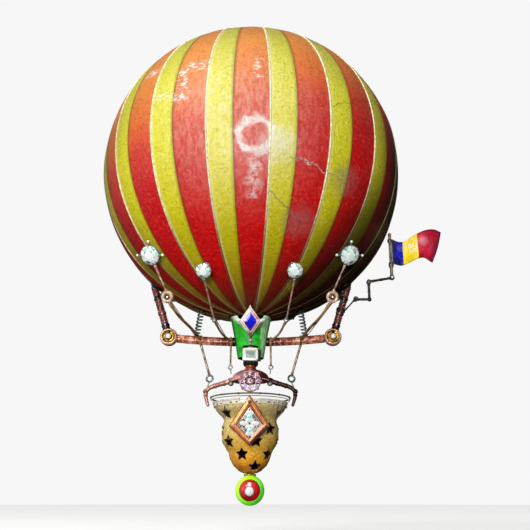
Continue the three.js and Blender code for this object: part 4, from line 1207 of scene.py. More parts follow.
def funnelEnamel():
    # deep green in front; painted shade darkens its left edge and greys its right rim, and a paler panel down its right
    # side is a painted highlight
    paint = Paint("funnel_enamel")
    x, y = paint.axis("X"), paint.axis("Y")
    cloud = paint.grain(3.0, 4.0, distortion=0.6)
    fine = paint.grain(26.0, 3.0)
    across = x / paint.maths("SQRT", x * x + y * y + 0.001)
    facing = y < 0.0
    colour = paint.mix(paint.fit(cloud, 0.35, 0.65), (4, 140, 14), (30, 208, 36))
    streak = paint.grain(5.0, 3.0, where=paint.squeezed(3.0, 3.0, 0.4))
    litPanel = paint.mix(paint.fit(streak, 0.35, 0.65), (112, 196, 104), (190, 236, 180))
    colour = paint.mix(paint.fit(x + 0.06 * (cloud - 0.5), 0.33, 0.42) * facing, colour, litPanel)
    colour = paint.mix(paint.fit(across, 0.9, 0.99) * facing * 0.6, colour, (134, 130, 108))
    colour = paint.mix(paint.fit(across, -0.97, -0.86, 1.0, 0.0) * 0.85, colour, (4, 54, 22))
    return paint.finish(colour, 0.34 + 0.24 * fine, fine * 0.4 + cloud * 0.6, 0.004, 0.5, glint=0.3, coat=0.25,
                        coatRoughness=0.35)


def bellRadius(z):
    share = (z - throat["lowZ"]) / (throat["topZ"] - throat["lowZ"])
    belly = 0.012 * math.sin(math.pi * min(1.0, max(0.0, share)))
    return throat["lowRadius"] + (throat["topRadius"] - throat["lowRadius"]) * share - belly


def notchEdge(z):
    return throat["notchHalf"] * (z - throat["notchFoot"]) / (throat["notchTop"] - throat["notchFoot"])


def bellPoint(x, z, rise):
    r = bellRadius(z) + rise
    return (x, -math.sqrt(max(1e-4, r * r - x * x)), z)


def funnelBell():
    steps = 15
    heights = [throat["lowZ"] + (throat["topZ"] - throat["lowZ"]) * n / (steps - 1) for n in range(steps)]
    bell, notch, window = Form(), Form(), Form()
    outer = [(bellRadius(z), z) for z in heights]
    inner = [(r - throat["wall"], z) for r, z in outer[::-1]]
    bell.turn(outer + inner, 96, finish=[0] * steps + [1] * steps)
    half, top = throat["notchHalf"], throat["notchTop"]
    notch.slab([(0, throat["notchFoot"]), (half, top), (-half, top)], -1.4, -0.05)
    window.slab(oblong(*throat["window"]), -0.9, -0.13)
    mesh = bell.pierced("funnel_shell", (funnelEnamel(), darkEnamel), notch, window)
    settle(mesh, "funnel_bell", "funnel", soft=35)

    # folded lapels on both sides of the notch, widest at the rim, their pale enamel a painted highlight along the folds
    rows, columns = 20, 8
    low, high = throat["lapel"]

    def lapel(n, k, side):
        z = low + (high - low) * n / rows
        x = min(notchEdge(z) + 0.004 + (0.035 + 0.2 * (n / rows) ** 0.8) * k / columns, 0.972 * bellRadius(z))
        return bellPoint(x, z, -0.004 if side else 0.008 + 0.026 * (1 - (2 * k / columns - 1) ** 2) ** 0.7)

    lapels, one = Form(), Form()
    one.panel(rows, columns, lapel)
    one.ball(bellPoint(notchEdge(-6.66) + 0.02, -6.66, 0.01), 0.032, 16, 1)
    for mirror in sides.values():
        lapels.take(one, mirror)
    lapels.piece("funnel_lapels", "green_enamel", "", paleEnamel, palePink, soft=40)

    # a thin rolled edge round the rim and down the notch, pale as a painted highlight
    rolled = Form()
    rimZ, foot = throat["rimZ"], throat["notchFoot"]
    reach = 0.987 * bellRadius(throat["topZ"])
    start = math.asin(notchEdge(rimZ) / reach)
    angles = [start + 2 * (math.pi - start) * n / 72 for n in range(1, 72)]
    levels = [foot + (rimZ - foot) * n / 16 for n in range(17)]
    edge = [bellPoint(notchEdge(z), z, -0.01) for z in levels]
    other = [(-x, y, z) for x, y, z in edge[::-1]]
    rim = [(reach * math.sin(a), -reach * math.cos(a), rimZ) for a in angles]
    rolled.sweep(other + edge[1:] + rim + other[:1], 0.015, 10)
    rolled.piece("funnel_edge", "green_enamel", "", paleEnamel)


funnelBell()


def makeBrooch():
    turn = Matrix.Translation(throat["broochTop"]) @ Matrix.Rotation(math.atan2(*throat["broochLean"]), 4, "X")
    spin = turn.to_3x3()
    outer, inner = kite(0.404, 0.104, -0.494, -1.163), kite(0.244, -0.140, -0.494, -0.896)
    made, gem, drop = Form(), Form(), Form()
    section = [(0.0, -0.016), (0.06, -0.032), (0.2, -0.036), (0.36, -0.026), (0.46, -0.03), (0.6, -0.046), (0.78, -0.044),
               (0.9, -0.028), (1.0, -0.012), (1.0, 0.028), (0.0, 0.028)]
    # pale on the left and at the top, pinker on the right and plum below: painted light and shade, lit from the upper
    # left
    rim, bed, groove = (0, 3, 3, 4), (0, 4, 4, 4), (4, 1, 3, 1)
    made.mould(outer, inner, section, turn, [rim, bed, bed, groove, bed, bed, bed, rim, rim, rim, rim])
    made.slab(kite(0.254, -0.13, -0.494, -0.911), 0.014, 0.030, 0.0, turn, 1)
    for side in (-1, 1):
        drape = [(0, -0.07), (0.05, -0.06), (0.072, -0.01), (0.062, 0.04), (0.03, 0.1), (0, 0.17)]
        made.turn(drape, 24, turn @ Vector((side * 0.43, -0.02, -0.462)), spin @ Vector((side, 0, 0.35)), 2)
        made.ring(turn @ Vector((side * 0.392, 0, -0.476)), 0.036, 0.012, spin @ Vector((side, 0, 0.1)), 20, 8)
    made.turn([(0, 0.05), (0.032, 0.06), (0.036, 0.08), (0.02, 0.1), (0.014, 0.13), (0, 0.163)], 20, throat["broochTop"],
              spin @ above, 2)
    made.rod((0, -0.772, -6.872), (0, -0.642, -6.932), 0.045, 16, 1, 0.01)
    for x, z in inner:
        made.ball(turn @ Vector((x * 1.02, -0.038, -0.52 + (z + 0.52) * 1.03)), 0.02, 10, 2)
    cream = broochCream("brooch_cream", (222, 184, 176), (250, 228, 220), (255, 250, 244))
    rose = broochCream("brooch_rose", (206, 150, 140), (244, 204, 194), (255, 236, 228))
    made.piece("kite_brooch", "rose_gilt", "brooch", cream, redCopper, whiteStone, plumSteel, rose, soft=28)
    # the stone's facets: white at the upper left as a painted highlight, darkest at the lower left as painted shade
    tones = [(0.5, 0.1, 0.4, 0.5), (0.97, 0.12, 0.42, 0.55), (0.86, 0.28, 0.5, 0.66)]
    steps = [(1.0, 0.01), (1.0, -0.012), (0.8, -0.044), (0.5, -0.054)]
    gem.cut(kite(0.239, -0.147, -0.494, -0.888), steps, turn, tones=tones)
    gem.piece("brooch_stone", "blue_gem", "brooch_gem", blueStone, soft=0)

    links = throat["links"]
    drop.sweep(flowing(links, 24), 0.019, 10, 2)
    drop.ball(links[1], 0.07, 32, 1)
    drop.ring(links[1], 0.068, 0.011, (0, 0.3, 1), 32, 8)
    drop.ball(links[2], 0.04, 20)
    drop.piece("bead_drop", "silver", "link_beads", palePink, greyViolet, plumSteel)


makeBrooch()


def makeBurner():
    # the burner's white block: softly squared, with a framed stone let into its face and a low dome on top
    squared = lambda power: lambda a, r, h: (abs(math.cos(a)) ** power + abs(math.sin(a)) ** power) ** (-1 / power)
    core, block, collar, foot, neck = Form(), Form(), Form(), Form(), Form()
    core.turn([(0, -7.774), (0.262, -7.774), (0.277, -7.75), (0.277, -7.35), (0.262, -7.31), (0.21, -7.28), (0, -7.266)], 64,
              swell=squared(9))
    block.take(core, Matrix.Translation((0, -0.225, 0)) @ Matrix.Diagonal((1, 1.2, 1, 1)))
    block.slab([(-0.296, -7.768), (0.296, -7.768), (0.296, -7.31), (0.22, -7.285), (-0.22, -7.285), (-0.296, -7.31)],
               -0.598, -0.55, 0.018)
    section = [(0.0, -0.594), (0.2, -0.612), (0.5, -0.616), (0.8, -0.61), (1.0, -0.6), (1.0, -0.59), (0.0, -0.59)]
    block.mould(oblong(0.215, -7.715, -7.365), oblong(0.15, -7.66, -7.42), section)
    tones = [(0.45, 0.6, 0.85, 0.5), (0.4, 0.65, 0.95, 0.6)]
    block.cut(oblong(0.155, -7.665, -7.415), [(1.0, -0.596), (0.92, -0.604), (0.6, -0.614)], finish=3, tones=tones)
    block.ball((0, -0.4, -7.29), 0.2, 40, 0, 0.4)
    block.ring((0, -0.4, -7.252), 0.158, 0.012, above, 48, 8, 4)
    block.ring((0, -0.4, -7.225), 0.1, 0.01, above, 40, 8, 4)
    # a dark slab beside the block's right side: a painted shadow
    block.slab([(0.283, -7.8), (0.392, -7.775), (0.392, -7.37), (0.283, -7.325)], -0.6, -0.44, 0.014, finish=2)
    for x in (-0.255, 0.255):
        for z in (-7.73, -7.345):
            block.ball((x, -0.6, z), 0.02, 12, 1)
    block.piece("burner_stone", "white_gem", "burner_block", milkStone, silver, darkEnamel, slateGlass, redCopper, soft=24)

    foot.turn(rounded([(0, -7.87), (0.272, -7.87), (0.262, -7.85), (0.278, -7.835), (0.27, -7.82), (0.29, -7.8),
                       (0.29, -7.776), (0, -7.776)], 0.005, 2), 64, swell=squared(5))
    collar.take(foot, Matrix.Translation((0, -0.06, 0)))
    collar.piece("burner_foot", "dark_enamel", "burner_collar", darkEnamel, soft=24)
    neck.ease([(0, -8.02), (0.225, -8.02), (0.228, -8.0), (0.2, -7.985), (0.19, -7.95), (0.2, -7.915), (0.228, -7.9),
               (0.225, -7.872), (0, -7.872)], 0.008, 64)
    neck.ring((0, 0, -7.95), 0.196, 0.014, steps=64, sides=10, finish=1)
    neck.piece("turned_neck", "copper", "neck", redCopper, gilt)


makeBurner()

print("yoke and rosette")
yoke = {"ribs": 24, "armRadius": 0.09, "hookRadius": 0.072, "shoulder": (0.74, 0, -8.44), "elbow": (1.70, 0, -8.85)}
rosette = {"y": -0.8, "z": -8.576, "petals": 8, "wire": 0.017, "white": (0, 1, 7)}


def yokeCopper():
    # pale rosy copper on the left, red-brown to the right: painted light and shade, with orange clouds
    paint = Paint("yoke_copper")
    x = paint.axis("X")
    cloud = paint.grain(3.2, 5.0, 0.6, distortion=0.8)
    fine = paint.grain(40.0, 3.0)
    colour = paint.ramp(0.46 + 0.5 * x + 0.5 * (cloud - 0.5), {
        0.0: (168, 116, 100), 0.14: (238, 176, 158), 0.36: (216, 130, 104), 0.56: (150, 66, 46), 0.72: (84, 30, 22),
        0.9: (44, 14, 12)})
    colour = paint.mix(paint.spot((-0.42, -0.5, -8.22), 0.13, 0.06), colour, (142, 130, 130))
    orange = paint.fit(paint.grain(5.0, 3.0), 0.56, 0.68) * paint.fit(x, 0.1, 0.4)
    colour = paint.mix(orange * paint.fit(x, 0.6, 0.9, 0.7, 0.15), colour, (206, 104, 52))
    return paint.finish(colour, 0.26 + 0.25 * fine, fine * 0.5 + cloud * 0.5, 0.004, metallic=0.45)


def makeYoke():
    dome, half = Form(), Form()
    outer = [(0, -8.024), (0.23, -8.024), (0.34, -8.055), (0.42, -8.085), (0.5, -8.125), (0.6, -8.185), (0.655, -8.245),
             (0.69, -8.32), (0.7, -8.38), (0.695, -8.42), (0.712, -8.435), (0.714, -8.465), (0.70, -8.48)]
    inner = [(0.65, -8.48), (0.64, -8.33), (0.56, -8.225), (0.4, -8.13), (0, -8.07)]
    ribbed = lambda r, h: 0.41 < r < 0.7 and h > -8.43
    flute = lambda a, r, h: 1 + (0.018 * abs(math.cos(yoke["ribs"] / 2 * a)) - 0.008 if ribbed(r, h) else 0.0)
    dome.turn(rounded(outer, 0.01, 2) + inner, 192, swell=flute)
    arms = flowing([(0.7, 0, -8.42), (0.96, 0, -8.52), (1.24, 0, -8.6), (1.56, 0, -8.72), (1.69, 0, -8.85)], 48)
    lumps = swelling(1.1, (0.2, 0.3, 0.03), (0.2, 0.62, 0.03), fall=0.24)
    thick = lambda s: yoke["armRadius"] * (lumps(s) + 0.1 * math.cos(s * 60) * math.exp(-((s - 0.46) / 0.1) ** 2))
    half.sweep(arms, thick, 18)
    hook, size = [(1.69, 0, -8.85), (1.69, 0, -9.04), (1.64, 0, -9.23), (1.59, 0, -9.38)], yoke["hookRadius"]
    half.sweep(flowing(hook, 24), swelling(1.12 * size, (0.25 * size, 0.25, 0.04), fall=0.35 * size), 16)
    half.ball(yoke["elbow"], 0.1, 28)
    half.ring(yoke["elbow"], 0.098, 0.014, (0.3, 0, 1), 32, 8, 1)
    half.ball(yoke["shoulder"], 0.12, 28)
    half.ring((0.80, 0, -8.462), 0.096, 0.022, (1, 0, -0.3), 32, 10, 1)
    half.rod(yoke["shoulder"], (0.74, -0.17, -8.56), 0.095, 28, 0, 0.02)
    half.ease([(0, -0.03), (0.1, -0.03), (0.112, -0.01), (0.108, 0.014), (0.09, 0.028), (0.076, 0.024), (0, 0.01)], 0.006, 36,
              (0.742, -0.185, -8.57), (0, -0.17, -0.12), 1)
    half.ball((0.742, -0.214, -8.59), 0.078, 32, 2)
    for share in (0.16, 0.46, 0.78):
        half.ball(arms[int(share * 48)] + Vector((0, -0.07, 0.01)), 0.026, 14, 3)
    for mirror in sides.values():
        dome.take(half, mirror)
    dome.rod((0, -0.64, rosette["z"]), (0, -0.738, rosette["z"]), 0.12, 40, 0, 0.012)
    dome.ring((0, -0.715, rosette["z"]), 0.118, 0.012, (0, 1, 0), 40, 8, 3)
    dome.rod((0, -0.67, -8.38), (0, -0.68, -8.56), 0.045)
    dome.piece("domed_yoke", "copper", "yoke", yokeCopper(), plumSteel, slateStone, gilt, soft=40)
    rivetRow("dome_beads", roseGilt)


makeYoke()


def makeRosette():
    # a wire loop round each of the wheel's stones, by instances round the hub
    recipe = Recipe("petals")
    count, = recipe.inputs("Count", "Int")
    width, long, middle, wire = recipe.inputs("Width Long Middle Wire")
    petal = recipe.moved(recipe.circle(1.0, 32), Scale=recipe.vector(width, long, 1.0), Translation=recipe.vector(y=middle))
    recipe.serve(recipe.around(recipe.tube(petal, recipe.circle(wire, 8)), count))
    y, z = rosette["y"], rosette["z"]
    hub = Vector((0, y, z))
    mesh = recipe.make("petals", lilacSilver, Count=rosette["petals"], Width=0.066, Long=0.056, Middle=0.3,
                       Wire=rosette["wire"])
    mesh.transform(Matrix.Translation(hub) @ Matrix.Rotation(math.pi / 2, 4, "X"))
    settle(mesh, "rosette_petals", soft=60, body="rosette")
    wheel, pin = Form(), Form()
    wheel.ease([(0.047, -0.034), (0.12, -0.034), (0.125, -0.01), (0.12, 0.02), (0.11, 0.034), (0.098, 0.024), (0.06, 0.02),
                (0.047, 0.014)], 0.005, 56, hub, front, 1, closed=True)
    wheel.ring(hub + front * 0.018, 0.143, 0.026, front, 64, 12, 3)
    wheel.ease([(0.207, -0.018), (0.243, -0.018), (0.248, 0.0), (0.243, 0.018), (0.225, 0.024), (0.207, 0.018)], 0.005, 72,
               hub, front, closed=True)
    wheel.ease([(0.352, -0.022), (0.402, -0.022), (0.406, 0.0), (0.402, 0.022), (0.39, 0.03), (0.377, 0.018), (0.364, 0.03),
                (0.352, 0.022)], 0.005, 96, hub, front, 1, closed=True)
    for n, (c, s) in enumerate(roundabout(rosette["petals"])):
        at = lambda r, shift=0.0: hub + Vector((r * s, shift, r * c))
        wheel.sweep(straight(at(0.12), at(0.36), 10), 0.019, 10)
        wheel.ball(at(0.3, -0.012), 0.036, 24, 2 if n in rosette["white"] else 4, 0.8, front)
        wheel.ball(at(0.408), 0.04, 20, 1, 0.8, front)
        wheel.ball(at(0.228, -0.022), 0.02, 14, 2)
    wheel.piece("rosette_wheel", "lilac_silver", "rosette", lilacSilver, duskyPink, whiteStone, plumSteel, greyViolet,
                soft=40, body="rosette")
    pin.rod((0, -0.7385, z), (0, y - 0.05, z), 0.04, 32)
    pin.ease([(0, 0.0), (0.08, 0.0), (0.083, 0.01), (0.076, 0.024), (0.05, 0.026), (0, 0.02)], 0.005, 40, (0, y - 0.042, z),
             front)
    pin.ball((0, y - 0.062, z), 0.046, 24, 1, 0.4, front)
    pin.piece("rosette_axle", "copper", "rosette_pin", duskyPink, greySteel)


makeRosette()

print("gondola")
gondola = {"hoopRadius": 1.5, "hoopTube": 0.028, "hoopZ": -9.11, "posts": 12, "marks": 36, "starRadius": 0.242,
           "starWaist": 0.48, "starDeep": 0.23, "starTurn": 0.4, "doorway": (0.395, -9.64, -10.18, -10.56), "boards": 12,
           "floorZ": -10.62, "floorRadius": 0.985, "hammered": 10.0,
           "profile": [(1.332, -9.46, 1.29), (1.28, -9.58, 1.236), (0.95, -9.92, 0.918), (1.06, -10.2, 1.022),
                       (1.04, -10.71, 1.0), (0.8, -11.09, 0.764), (0.745, -11.3, 0.702), (0.64, -11.53, 0.590),
                       (0.43, -11.73, 0.38), (0.22, -11.83, 0.0), (0.0, -11.86, 0.0)],
           "stars": [(-9.735, (-49, 71, 131, 191, 251)), (-10.29, (44, 104, 164, 224, -80)),
                     (-10.735, (-49, 13, 84, 141, 199, 257)), (-11.175, (-21, 56, 166, 270)), (-11.62, (20, 120, 240))]}


def goldenPlate():
    # hammered gilt: golden orange at the foot, tan above, with a few brown contour lines; the brown at the very foot is
    # painted shade
    paint = Paint("golden_plate")
    cloud = paint.grain(2.4, 5.0, 0.6, distortion=0.8)
    fine = paint.grain(34.0, 3.0)
    hammered = paint.cells(gondola["hammered"])
    colour = paint.ramp((paint.axis("Z") + 11.86) / 2.4 + 0.2 * (cloud - 0.5), {
        0.0: (110, 36, 10), 0.05: (178, 88, 14), 0.13: (232, 150, 14), 0.3: (244, 180, 36), 0.46: (236, 190, 80),
        0.66: (226, 202, 118), 1.0: (226, 208, 144)})
    colour = paint.mix(paint.fit(hammered, 0.25, 0.6) * 0.35, colour, (150, 104, 40))
    colour = paint.mix(paint.fit(paint.grain(11.0, 3.0), 0.58, 0.68) * 0.55, colour, (255, 214, 78))
    contour = paint.fit(abs(paint.grain(1.6, 2.0, distortion=1.2) - 0.5), 0.004, 0.016, 1.0, 0.0)
    colour = paint.mix(contour * 0.5, colour, (118, 62, 18))
    colour = paint.mix(paint.fit(fine, 0.58, 0.8) * 0.3, colour, (104, 70, 26))
    height = fine * 0.2 + paint.fit(hammered, 0.0, 0.6) * 0.8
    return paint.finish(colour, 0.4 + 0.2 * fine, height, 0.008, metallic=0.08, coat=0.25, coatRoughness=0.18)


def deckWood():
    paint = Paint("deck_wood")
    ring = paint.grain(3.0, 5.0, 0.6, paint.squeezed(9.0, 0.9, 9.0), 1.4)
    colour = paint.ramp(ring, {0.3: (84, 52, 26), 0.5: (136, 92, 50), 0.7: (168, 122, 72)})
    return paint.finish(colour, 0.5 + 0.3 * ring, ring, 0.003)


def shellRadius(z):
    rows = gondola["profile"]
    for (r0, z0, _), (r1, z1, _) in zip(rows, rows[1:]):
        if z1 <= z <= z0:
            return r0 + (r1 - r0) * (z - z0) / (z1 - z0)
    return rows[0][0]


def starOutline(radius, waist, between=1):
    # five points, each edge in that many steps
    corners = [Vector((c, s)) * radius * (waist if n % 2 else 1.0) for n, (c, s) in enumerate(roundabout(10, 2.5))]
    return [a.lerp(b, k / between) for a, b in zip(corners, corners[1:] + corners[:1]) for k in range(between)]


def starPlaces():
    # each star's middle and the way its cut faces: nearly straight back in front, radial behind
    for z, angles in gondola["stars"]:
        for angle in angles:
            a = math.radians(angle)
            turn = gondola["starTurn"] * a if abs(angle) < 90 else a
            r = shellRadius(z)
            yield Vector((r * math.sin(a), -r * math.cos(a), z)), Matrix.Rotation(turn, 4, "Z")


def makeGondola():
    rows, deep = gondola["profile"], gondola["starDeep"]
    shell, cutters, lips, deck = Form(), Form(), Form(), Form()
    outer = rounded([(r, z) for r, z, _ in rows], 0.13, 6)
    hollow = [(inner, z + 0.03 * (1.332 - inner)) for n, (r, z, inner) in enumerate(rows) if n < 10 and n != 7]
    inner = rounded([(1.29, -9.46)] + hollow[1:], 0.05, 3)
    shell.turn(outer + inner[::-1], 144, finish=[0] * (len(outer) - 1) + [1] * (len(inner) + 1))
    outline = starOutline(gondola["starRadius"], gondola["starWaist"])
    edge = starOutline(gondola["starRadius"] * 1.02, gondola["starWaist"] * 1.02, 4)
    for middle, turn in starPlaces():
        cutters.slab(outline, -deep, deep, 0.0, Matrix.Translation(middle) @ turn)
        # a lip where the cut's own direction meets the plate
        way = turn.to_3x3() @ front
        path = []
        for x, z in edge:
            at = middle + turn.to_3x3() @ Vector((x, 0, z))
            r = shellRadius(at.z) + 0.001
            b, c = at.x * way.x + at.y * way.y, at.x ** 2 + at.y ** 2 - r * r
            path.append(at + way * (-b + math.sqrt(max(0.0, b * b - c))))
        lips.loop(path, 0.008)
    cutters.slab(kite(*gondola["doorway"]), -1.35, -0.65)
    # the inside is dark plum, a painted shade so that the star holes read dark
    mesh = shell.pierced("gondola_plate", (goldenPlate(), darkPlum), cutters)
    settle(mesh, "gondola_plate", "gondola_shell", soft=38)
    lips.piece("star_lips", "bronze", "", plumSteel, soft=60)

    z, reach, boards = gondola["floorZ"], gondola["floorRadius"], gondola["boards"]
    wide = 2 * reach / boards
    for n in range(boards):
        across = [-reach + n * wide + 0.004 + (wide - 0.008) * k / 6 for k in range(7)]
        top = [(x, math.sqrt(max(0.0004, reach * reach - x * x))) for x in across]
        board = top + [(x, -y) for x, y in top[::-1]]
        deck.skin([[(x, y, level) for x, y in board] for level in (z - 0.04, z)], caps=True)
    deck.piece("deck_boards", "deck_wood", "gondola_floor", deckWood())


makeGondola()


def makeRail():
    hoop, band, marks = Form(), Form(), Form()
    radius, z = gondola["hoopRadius"], gondola["hoopZ"]
    hoop.ring((0, 0, z), radius, gondola["hoopTube"], steps=120)
    for c, s in roundabout(gondola["posts"], 0.5):
        top = Vector((radius * s, radius * c, z))
        hoop.sweep(straight(top, (1.424 * s, 1.424 * c, -9.44), 20), swelling(0.014, (0.008, 0.5, 0.1)), 10, 1)
        hoop.ball(top, 0.038, 16, 2)
    hoop.ring((0, 0, -9.2), 1.479, 0.014, steps=120, sides=8)
    hoop.piece("rail_hoop", "dark_steel", "top_hoop", oliveSteel, creamMetal, blackSteel, soft=50)
    band.ease([(1.33, -9.456), (1.372, -9.456), (1.386, -9.33), (1.408, -9.31), (1.41, -9.294), (1.408, -9.278),
               (1.38, -9.27), (1.35, -9.33)], 0.006, 144, closed=True)
    band.piece("cream_band", "gilt", "rail_band", creamMetal, soft=40)
    slope = Matrix.Translation((0, -1.379, -9.4)) @ Matrix.Rotation(math.radians(-6), 4, "X")
    for n in range(gondola["marks"]):
        # two marks, then a gap
        if n % 3 < 2:
            turn = Matrix.Rotation(2 * math.pi * n / gondola["marks"], 4, "Z")
            marks.slab(oblong(0.036, -0.026, 0.026), -0.008, 0.012, 0.006, turn @ slope)
    marks.piece("band_marks", "dark_enamel", "", darkPlum, soft=30)


makeRail()

print("hatch")
hatch = {"tilt": 9.97, "top": (0.0, -1.514, -9.173), "pinDrop": 0.247, "middle": -1.0, "stepWide": 0.2, "stepHigh": 0.12,
         "blue": ((0, 2), (0, -2), (2, 0)),
         "enamels": {"gold": [(166, 96, 20), (208, 138, 46), (240, 196, 108)],
                     "orange": [(130, 62, 12), (176, 98, 26), (214, 136, 54)],
                     "rust": [(104, 38, 10), (150, 64, 18), (190, 94, 34)],
                     "cream": [(214, 146, 118), (236, 186, 160), (252, 220, 200)],
                     "umber": [(44, 18, 10), (74, 30, 16), (112, 52, 26)]}}
hatchPlace = Matrix.Translation(hatch["top"]) @ Matrix.Rotation(math.radians(hatch["tilt"]), 4, "X")


def frameEnamel(name, shades):
    paint = Paint(name)
    long = paint.grain(5.0, 5.0, 0.6, paint.squeezed(3.0, 3.0, 1.0), 1.0)
    fine = paint.grain(46.0, 3.0)
    colour = paint.ramp(long, dict(zip((0.32, 0.5, 0.66), shades)))
    colour = paint.mix(paint.fit(fine, 0.6, 0.8) * 0.25, colour, (92, 38, 14))
    return paint.finish(colour, 0.28 + 0.2 * long, long, 0.003, 0.5, metallic=0.2, coat=0.25, coatRoughness=0.2)


def makeHatch():
    rim, bore, pin = Form(), Form(), Form()
    section = [(0.0, -0.014), (0.1, -0.03), (0.46, -0.046), (0.54, -0.046), (0.92, -0.026), (1.0, -0.012), (1.0, 0.035),
               (0.0, 0.035)]
    # for each ring of the section: upper left, lower left, lower right and upper right bar
    # cream and gold where a bevel faces the upper left are painted light, umber on the lower right bar is painted shade
    finishes = [(4, 4, 4, 4), (0, 2, 4, 1), (3, 1, 4, 0), (1, 1, 1, 2), (4, 4, 3, 4), (4, 4, 4, 4), (1, 1, 1, 1),
                (4, 4, 4, 4)]
    rim.mould(kite(0.735, 0, -1.104, -1.792), kite(0.440, -0.438, -1.034, -1.54), section, finish=finishes)
    drop = hatch["pinDrop"]
    bore.rod((0, -0.1, -drop), (0, 0.1, -drop), 0.034, 24)
    enamels = [frameEnamel("frame_" + name, shades) for name, shades in hatch["enamels"].items()]
    mesh = rim.pierced("kite_frame", enamels, bore)
    mesh.transform(hatchPlace)
    settle(mesh, "kite_frame", "hatch_frame", soft=15, body="hatch")
    out, at = hatchPlace.to_3x3() @ front, hatchPlace @ Vector((0, 0, -drop))
    pin.rod(at - out * 0.088, at + out * 0.05, 0.028, 24)
    pin.ease([(0, 0.047), (0.058, 0.047), (0.062, 0.054), (0.05, 0.066), (0.02, 0.07), (0, 0.068)], 0.004, 32, at, out)
    pin.piece("hatch_peg", "dark_steel", "hatch_pin", plumSteel)


def stonePanel():
    tray, turn, out = Form(), hatchPlace, hatchPlace.to_3x3() @ front
    border = kite(0.438, -0.441, -1.034, -1.536)
    tray.slab(border, 0.0, 0.015, 0.0, turn)
    tray.slab(kite(0.42, -0.47, -1.032, -1.508), -0.006, 0.0, 0.0, turn, 3)
    wide, high = hatch["stepWide"], hatch["stepHigh"]
    long = [(0, 0.08), (-0.075, 0.068), (-0.15, 0.022), (-0.15, -0.022), (-0.075, -0.068), (0, -0.08), (0.075, -0.068),
            (0.15, -0.022), (0.15, 0.022), (0.075, 0.068)]
    longTones = [[0.5, 0.72, 0.6, 0.85, 0.42, 0.66, 0.9, 0.55, 0.78, 0.48]]
    drop = [(0.1 * math.cos(math.pi * k / 4 + 0.39), 0.09 * math.sin(math.pi * k / 4 + 0.39)) for k in range(8)]
    dropTones = [[0.85, 0.95, 0.8, 0.9, 1.0, 0.82, 0.92, 0.88]]

    def inside(x, z, margin):
        return all(((x1 - x0) * (z - z0) - (z1 - z0) * (x - x0)) / math.hypot(x1 - x0, z1 - z0) > margin
                   for (x0, z0), (x1, z1) in zip(border, border[1:] + border[:1]))

    def stone(shape, share, depths, finish, tones):
        steps = list(zip((1.0, 1.0, 0.6), depths))
        tray.cut([(x + a * share, z + b * share) for a, b in shape], steps, turn, finish, tones)

    for across in range(-4, 5):
        for rise in range(-6, 7):
            x, z = across * wide, hatch["middle"] + rise * high
            if (across + rise) % 2:
                # a long white stone between the dots, or a bead where the frame leaves no room
                if inside(x, z, 0.045):
                    stone(long, 1.0 if inside(x, z, 0.1) else 0.45, (-0.004, -0.014, -0.03), 4, longTones)
            elif (across, rise) in hatch["blue"] and inside(x, z, 0.06):
                stone(drop, 1.0, (-0.006, -0.026, -0.04), 1, dropTones)
            elif inside(x, z, 0.035):
                tray.ball(turn @ Vector((x, -0.014, z)), 0.03, 14, 2)
                tray.ring(turn @ Vector((x, -0.012, z)), 0.048, 0.01, out, 20, 6, 5)
            for shift in (0.5, -0.5):
                if inside(x + shift * wide, z + 0.5 * high, 0.03):
                    tray.ball(turn @ Vector((x + shift * wide, -0.01, z + 0.5 * high)), 0.018, 10, 4)
    tray.piece("stone_panel", "clear_gem", "hatch_infill", silver, aquaStone, blackSteel, greySteel, paleStone, silver,
               soft=22, body="hatch")


makeHatch()
stonePanel()

print("lamp")
lamp = {"z": -12.425, "globe": 0.53, "core": 0.385, "half": 0.3, "steps": 28}


def limeGlow():
    paint = Paint("lime_glow")
    cloud = paint.grain(3.0, 3.0)
    # lighter yellow-lime towards the upper left, darker green low right: painted light and shade
    level = 0.5 - 0.5 * paint.axis("X") + 0.35 * (paint.axis("Z") - lamp["z"]) + 0.3 * (cloud - 0.5)
    colour = paint.ramp(level, {0.1: (44, 172, 40), 0.45: (104, 236, 20), 0.8: (190, 255, 40), 1.0: (226, 255, 110)})
    return paint.finish(colour, 0.22 + 0.1 * cloud, glow=0.45, coat=0.6)


def makeLamp():
    collar, globe, core, gem = Form(), Form(), Form(), Form()
    collar.ease([(0.13, -11.866), (0.205, -11.85), (0.232, -11.868), (0.236, -11.885), (0.215, -11.896), (0.228, -11.912),
                 (0.215, -11.928), (0.13, -11.904)], 0.005, 64, closed=True)
    collar.piece("lamp_cap", "gilt", "lamp_collar", gilt)
    z, r, half, size = lamp["z"], lamp["core"], lamp["half"], lamp["globe"]
    centre, reach = Vector((0, 0, z)), r + 0.006
    end = math.asin(reach / size)
    angles = [end + (math.pi - 2 * end) * n / lamp["steps"] for n in range(lamp["steps"] + 1)]
    arc = [(size * math.sin(a), -size * math.cos(a)) for a in angles]
    globe.ease(arc + [(reach, arc[-1][1] - 0.02), (reach, arc[0][1] + 0.02)], 0.012, 96, centre, front, closed=True)
    globe.piece("lime_globe", "lime_enamel", "lamp_globe", limeGlow(), soft=50)
    quarter = [(r * math.sin(math.pi / 2 * n / 16), half + r * math.cos(math.pi / 2 * n / 16)) for n in range(17)]
    core.turn([(x, -h) for x, h in quarter] + quarter[::-1], 72, centre, front)
    core.piece("red_core", "red_enamel", "lamp_core", redEnamel, soft=60)
    gem.ball((0, -0.66, z - 0.04), 0.162, 44, 0, 0.95, front)
    gem.ball((0, -0.625, z + 0.19), 0.083, 32)
    gem.ring((0, -0.668, z - 0.04), 0.163, 0.012, front, 56, 8, 1)
    gem.ring((0, -0.628, z + 0.19), 0.085, 0.009, front, 40, 8, 1)
    gem.brilliant((0, -0.79, z - 0.04), front, 0.07, 0.03, 0.02, 2)
    for name, flip in (("front", 1), ("rear", -1)):
        gem.placed(Matrix.Diagonal((1, flip, 1, 1))).piece(f"lamp_stone_{name}", "white_gem", f"lamp_gem_{name}", whiteStone,
                                                           greySteel, clearStone, soft=40)


makeLamp()

